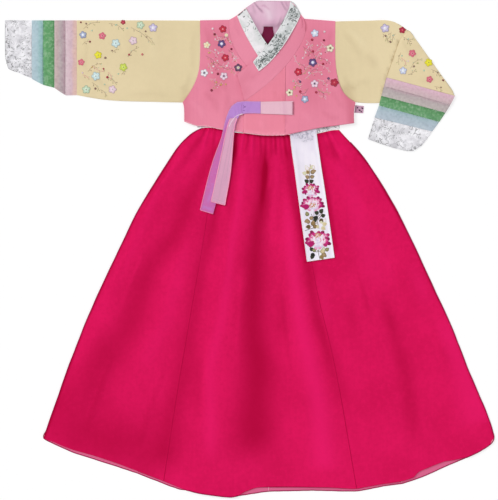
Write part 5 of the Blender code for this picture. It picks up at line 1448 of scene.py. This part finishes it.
def stitchPeony(petal, peony, trees):
    middleX, middleY = peony["middle"]
    made = []
    for count, start, length, breadth, offset, lift, *tints in peonyRings:
        for k in range(count):
            turn = 2 * math.pi * (k + offset + stitches["uneven"] * math.sin(2.7 * k + middleX)) / count
            names = tints[2] if math.sin(turn) < stitches["palerBelow"] else tints[k % 2]
            uneven = 1 + stitches["uneven"] * math.sin(2.4 * k + middleY)
            made.append(stitchPetal(petal, peony, turn, start, length * uneven, breadth, names, trees, lift))
    start, length, breadth, lift, names = stitches["broadPetal"]
    for turn in peony["broad"]:
        made.append(stitchPetal(petal, peony, math.radians(turn), start, length, breadth, names, trees, lift))
    for k in range(stitches["knots"]):
        turn = stitches["knotTurn"] * k
        x = middleX - 1.0 + (0.8 + 0.42 * k) * math.cos(turn)
        y = middleY + peony["goldUp"] * peony["size"][1] + (0.5 + 0.26 * k) * math.sin(turn)
        knot = ("apricot", "paleGold") if k % 2 else ("gold", "apricot")
        made.append(stitched(petal, x, y, turn, knot, trees, stitches["knotLift"], stitches["knotSize"]))
    return made


def makeSashEmbroidery():
    trees = shownSurface(["sash"])
    petal = modelStitchedShape(stitches["petalTaper"], True)
    leaf = modelStitchedShape(stitches["leafTaper"])
    made = []
    for peony in peonies:
        made += stitchPeony(petal, peony, trees)
    for x, y, length, turn, edge, inside in sashLeaves:
        stretch = [length * share for share in stitches["leafSize"]]
        made.append(stitched(leaf, x, y, math.radians(turn), (edge, inside), trees, stitches["lift"],
                             stretch))
    wear(settle(joined(made), "sashEmbroidery"), "thread")
    stems = [sewnLine("stem", strokes, stitches["stemRadius"], silks[silk], trees, stitches["stemLift"])
             for silk, strokes in sashStems.items()]
    settle(joined(stems), "sashStems")
    for model in (petal, leaf):
        bpy.data.objects.remove(model)


trims = [
    # name, what it lies on with its own node first, radius, colour, lift, strokes
    ("tailSelvedge", ["tie_tail_pink"], 0.95, (0.97, 0.36, 0.56), -0.1, [
        [(-38.5, 245.5), (-41.5, 237.5), (-58, 163), (-73.8, 91)],
        [(-24.8, 246.5), (-28.6, 237), (-37.6, 144.5), (-48, 84)], [(-73.8, 90), (-48, 83.6)]]),
    ("tailFold", ["tie_tail_pink"], 0.35, (0.56, 0.32, 0.44), -0.1, [
        [(-33, 240), (-40, 200), (-52, 140), (-60, 92)], [(-30, 232), (-37, 190), (-46, 130)],
        [(-70, 96), (-50, 90)]]),
    ("lilacSelvedge", ["tie_lilac"], 0.5, (0.66, 0.36, 0.66), -0.15, [
        [(19, 278.6), (-24, 277.4), (-34, 271), (-45.6, 246), (-53, 214)],
        [(19, 257), (-14, 257), (-22, 253), (-32.4, 213)]]),
    ("lilacTailEdge", ["tie_lilac"], 0.85, (0.84, 0.24, 0.46), -0.1, [
        [(-53, 214), (-72, 161.5), (-94, 75)], [(-94, 74), (-71, 67)]]),
    ("lilacTack", ["tie_lilac"], 0.6, (0.24, 0.1, 0.36), -0.1, [
        [(-13, 272), (-9, 268)], [(-13, 267), (-8, 271)], [(-14, 263), (-10, 262)]]),
    ("lilacFold", ["tie_lilac"], 0.5, (0.36, 0.16, 0.44), -0.15, [
        [(-15, 277), (-17, 266), (-15, 257)]]),
    ("tailStart", ["tie_lilac", "tie_tail_pink"], 0.8, (0.86, 0.7, 0.8), -0.2, [
        [(-14, 256), (-26, 252), (-36, 240), (-40, 232)]]),
    ("bandSelvedge", ["tie_band_pink"], 0.42, (0.8, 0.54, 0.62), -0.12, [
        [(20.8, 278.4), (50, 279), (81, 279)], [(20.8, 256.6), (50, 255.6), (81, 254.6)]]),
    # painted shadow at the right end of the band, drawn as two dark lines
    ("bandTack", ["tie_band_pink"], 0.5, (0.36, 0.05, 0.12), -0.1, [
        [(81.4, 279), (81.6, 254.5)], [(79.8, 279), (80, 254.5)]]),
    ("sideTieDots", ["side_tie"], 1.7, (0.03, 0.005, 0.03), -0.6, [
        [(211.5, 268.4), (214.6, 266.8)], [(206, 264.5), (209.4, 263)], [(210, 260.6), (212, 261.4)],
        [(203, 269), (205, 268)]]),
    ("cuffEnds", ["cuff_left"], 0.55, (0.34, 0.34, 0.35), -0.3, [
        [(-464.8, 434), (-465, 400), (-464.4, 364)], [(-464.4, 363.4), (-459, 343.4)],
        [(-459, 343), (-446, 337.2)]]),
    ("rightCuffEnds", ["cuff_right"], 0.5, (0.38, 0.38, 0.39), -0.3, [
        [(238.2, 247), (224.6, 210.4)], [(224.4, 209), (262, 196), (300, 186.4)]]),
    # the pale edge of the hem, lightened further as a painted highlight
    ("jacketHem", ["overlap_panel", "jacket_front_left"], 1, (0.88, 0.42, 0.5), -0.35, [
        [(-122, 242), (-101, 234.4), (-86, 234), (-58, 228), (-16, 222.6)],
        [(-11, 220.4), (26.5, 216), (65, 216.4)]]),
    # a dark line along the right front's hem and side, darkened as painted shade
    ("outerJacketHemAndShade", ["jacket_front_right"], 0.6, (0.56, 0.15, 0.22), -0.3, [
        [(67, 216.6), (130, 229.8), (158, 233.8), (196, 239.2)], [(196.4, 240), (196, 257), (198.6, 277)]]),
    ("sashPiping", ["sash"], 0.55, (0.88, 0.74, 0.82), -0.2, [
        [(76.3, 228), (76.2, 214), (92, 100), (108.3, -22.6)],
        [(125.3, 228), (125.7, 216), (142, 108), (159.5, -15.4)], [(108.4, -23.4), (159.6, -16)]]),
    ("leftStripPiping", ["collar_strip_left"], 0.55, (0.86, 0.86, 0.87), -0.2, [
        [(-24, 441.5), (-11.6, 413.5), (14.8, 368), (22, 358.6)],
        [(-8, 456), (15.4, 413.5), (38.4, 378.5)]]),
    ("leftStripDashes", ["collar_strip_left"], 0.9, (0.06, 0.07, 0.07), -0.3, [
        [(-23, 443), (-19.5, 446.4)], [(-16, 449), (-13.6, 451)], [(-11, 452.6), (-9.4, 454.4)]]),
    ("rightStripPiping", ["collar_strip_right"], 0.85, (0.88, 0.88, 0.89), -0.45, [
        [(94.8, 443), (86.4, 426), (61, 384.3), (33.2, 351.6), (17, 338.4)],
        [(76.4, 468), (75, 456.5), (42, 397.8), (6.6, 355)], [(16.4, 338.2), (6.4, 354.4)]]),
    ("collarTopRim", ["collar_right", "collar_strip_right"], 1.3, (0.66, 0.67, 0.68), -0.5, [
        [(77, 470), (84, 465.4), (90, 455.6), (95.4, 446)]]),
    ("overlapSeam", ["overlap_panel", "jacket_front_right"], 0.6, (0.6, 0.14, 0.2), -0.42, [
        [(67, 346), (66.5, 280), (66, 216)]]),
    ("collarSeam", ["collar_right", "jacket_front_right", "overlap_panel"], 0.55, (0.42, 0.08, 0.12), -0.42, [
        [(103, 437), (105.6, 429.5), (104.6, 409.5), (98, 392), (76.6, 358.5), (67, 347), (53, 331),
         (16, 299), (-10, 280.4)]]),
    ("collarTurn", ["collar_right"], 0.5, (0.55, 0.12, 0.2), -0.3, [
        [(98, 440), (99.5, 430), (98, 418)]]),
    ("innerCollarSeam", ["collar_left", "jacket_front_left"], 0.45, (0.58, 0.17, 0.2), -0.36, [
        [(-40, 432), (-40, 414.5), (-31.5, 384), (-18.5, 362.5), (2, 338)]]),
    ("collarEnd", ["collar_right", "jacket_front_left"], 0.45, (0.56, 0.11, 0.2), -0.36, [
        [(7.5, 354), (-6, 345.6), (-24.6, 331.5), (-17.2, 306), (-10.4, 281)]]),
    ("frontEdge", ["overlap_panel", "jacket_front_left"], 0.45, (0.58, 0.15, 0.2), -0.36, [
        [(-10.5, 279), (-11.5, 255), (-13, 220)]]),
    ("armholeSeams", ["sleeve_left", "jacket_front_left"], 0.45, (0.66, 0.36, 0.3), -0.4, [
        [(-95, 433), (-96, 346), (-102, 321.5), (-111.5, 301), (-128, 278.5)]]),
    ("rightArmholeSeam", ["sleeve_right", "jacket_front_right"], 0.45, (0.66, 0.36, 0.3), -0.4, [
        [(162, 432), (162, 357.5), (166, 325), (174.5, 299), (186, 286), (199, 279)]]),
    ("turnedSleeveEdge", ["sleeve_right"], 0.55, (0.42, 0.28, 0.12), -0.35, [
        [(286, 408), (283, 397.5), (271, 361), (258.8, 326.5)]]),
    ("neckEdge", ["back_lining"], 0.5, (0.55, 0.3, 0.44), -0.3, [
        [(-6, 458), (8.8, 468), (13, 470.2), (40, 470), (75.4, 469.6)]]),
]

# the bold scribbles of the collar strips and of the dark ends of the cuffs: x, y, size, turn, hand
scrolls = {
    "collar_strip_right": [
        (76, 449, 3.2, 0.3, 1), (84, 446, 3.4, 2.2, -1), (79, 440, 3.6, 4.2, 1), (87, 438, 2.8, 1, 1),
        (82, 433, 2.6, 3.4, -1), (74, 436, 2, 5, 1), (79, 453, 2.4, 1.2, -1), (63, 398, 2.8, 0.8, 1),
        (56, 394, 3, 2.6, -1), (60, 388, 3.4, 4.4, 1), (52, 385, 3, 1.2, -1), (55, 378, 3, 3, 1),
        (46, 378, 2.8, 5.2, 1), (48, 370, 3.2, 0.2, -1), (39, 373, 2.8, 2.4, 1), (40, 365, 3.2, 4, -1),
        (31, 367, 2.8, 1.6, 1), (33, 359, 3, 5.6, -1), (24, 361, 2.8, 3.2, 1), (25, 353, 3.2, 0.6, 1),
        (17, 355, 2.8, 2, -1), (19, 347, 2.8, 4.6, 1), (11, 350, 2.4, 1, 1), (68, 412, 1.6, 2, 1),
        (72, 426, 1.6, 4, -1)],
    "collar_strip_left": [
        (-12, 440, 1.6, 0.5, 1)],
    "cuff_left": [
        (-461, 396, 1.8, 3, 1), (-460, 384, 2.2, 4.8, -1), (-461, 373, 2.2, 0.8, 1),
        (-456, 364, 2.2, 2.6, 1), (-460, 354, 2.2, 4.2, -1), (-452, 350, 2, 1.2, 1),
        (-444, 345, 1.8, 3.4, -1), (-446, 431, 1.8, 2.2, -1)],
    "cuff_right": [
        (228, 214, 1.8, 0.4, 1), (234, 237, 1.6, 4, 1), (231, 224, 1.6, 2.2, -1), (246, 206, 1.8, 5, 1),
        (278, 200, 1.8, 5.4, -1), (308, 194, 1.8, 0.8, 1)],
}
# radius and colour of their thread
scrollThreads = {"collar": (0.62, (0.055, 0.075, 0.07)), "cuff": (0.42, (0.26, 0.26, 0.27))}


scrollShape = {"points": 8, "turn": 0.85, "tails": ((1.0, -1.9), (0.8, 0.5)), "lift": -0.15}


# A curl that winds in, with a tail and a leaf at its outer end.
def scrollStrokes(x, y, size, turn, hand):
    curl = []
    for k in range(scrollShape["points"]):
        angle = turn + hand * k * scrollShape["turn"]
        reach = size * (1 - k / (scrollShape["points"] + 1))
        curl.append((x + reach * math.cos(angle), y + reach * math.sin(angle)))
    start = np.array(curl[0])
    strokes = [curl]
    for length, bend in scrollShape["tails"]:
        angle = turn + hand * bend
        tip = start + size * length * np.array((math.cos(angle), math.sin(angle)))
        strokes.append([tuple(start), tuple(tip)])
    return strokes


def makeScrolls():
    for node, places in scrolls.items():
        radius, colour = scrollThreads[node.split("_")[0]]
        strokes = [stroke for spot in places for stroke in scrollStrokes(*spot)]
        settle(sewnLine("scrolls" + titled(node), strokes, radius, colour, shownSurface([node]),
                        scrollShape["lift"], sides=0))


def makeTrims():
    for name, under, radius, colour, lift, strokes in trims:
        strokes = [shifted(points) for points in strokes]
        settle(sewnLine(name, strokes, radius, colour, shownSurface(under), lift))


makeSashEmbroidery()
print("sash embroidered")
makeTrims()
makeScrolls()
makeEdges()
print("edges sewn")
makeScatter()
print("sequins and twigs sewn on")

bpy.ops.mesh.primitive_plane_add(size=studio["floorSize"], location=(0, 0, studio["floorHeight"]))
floor = bpy.context.object
floor.name = "floor"
floor.data.materials.append(floorFinish())
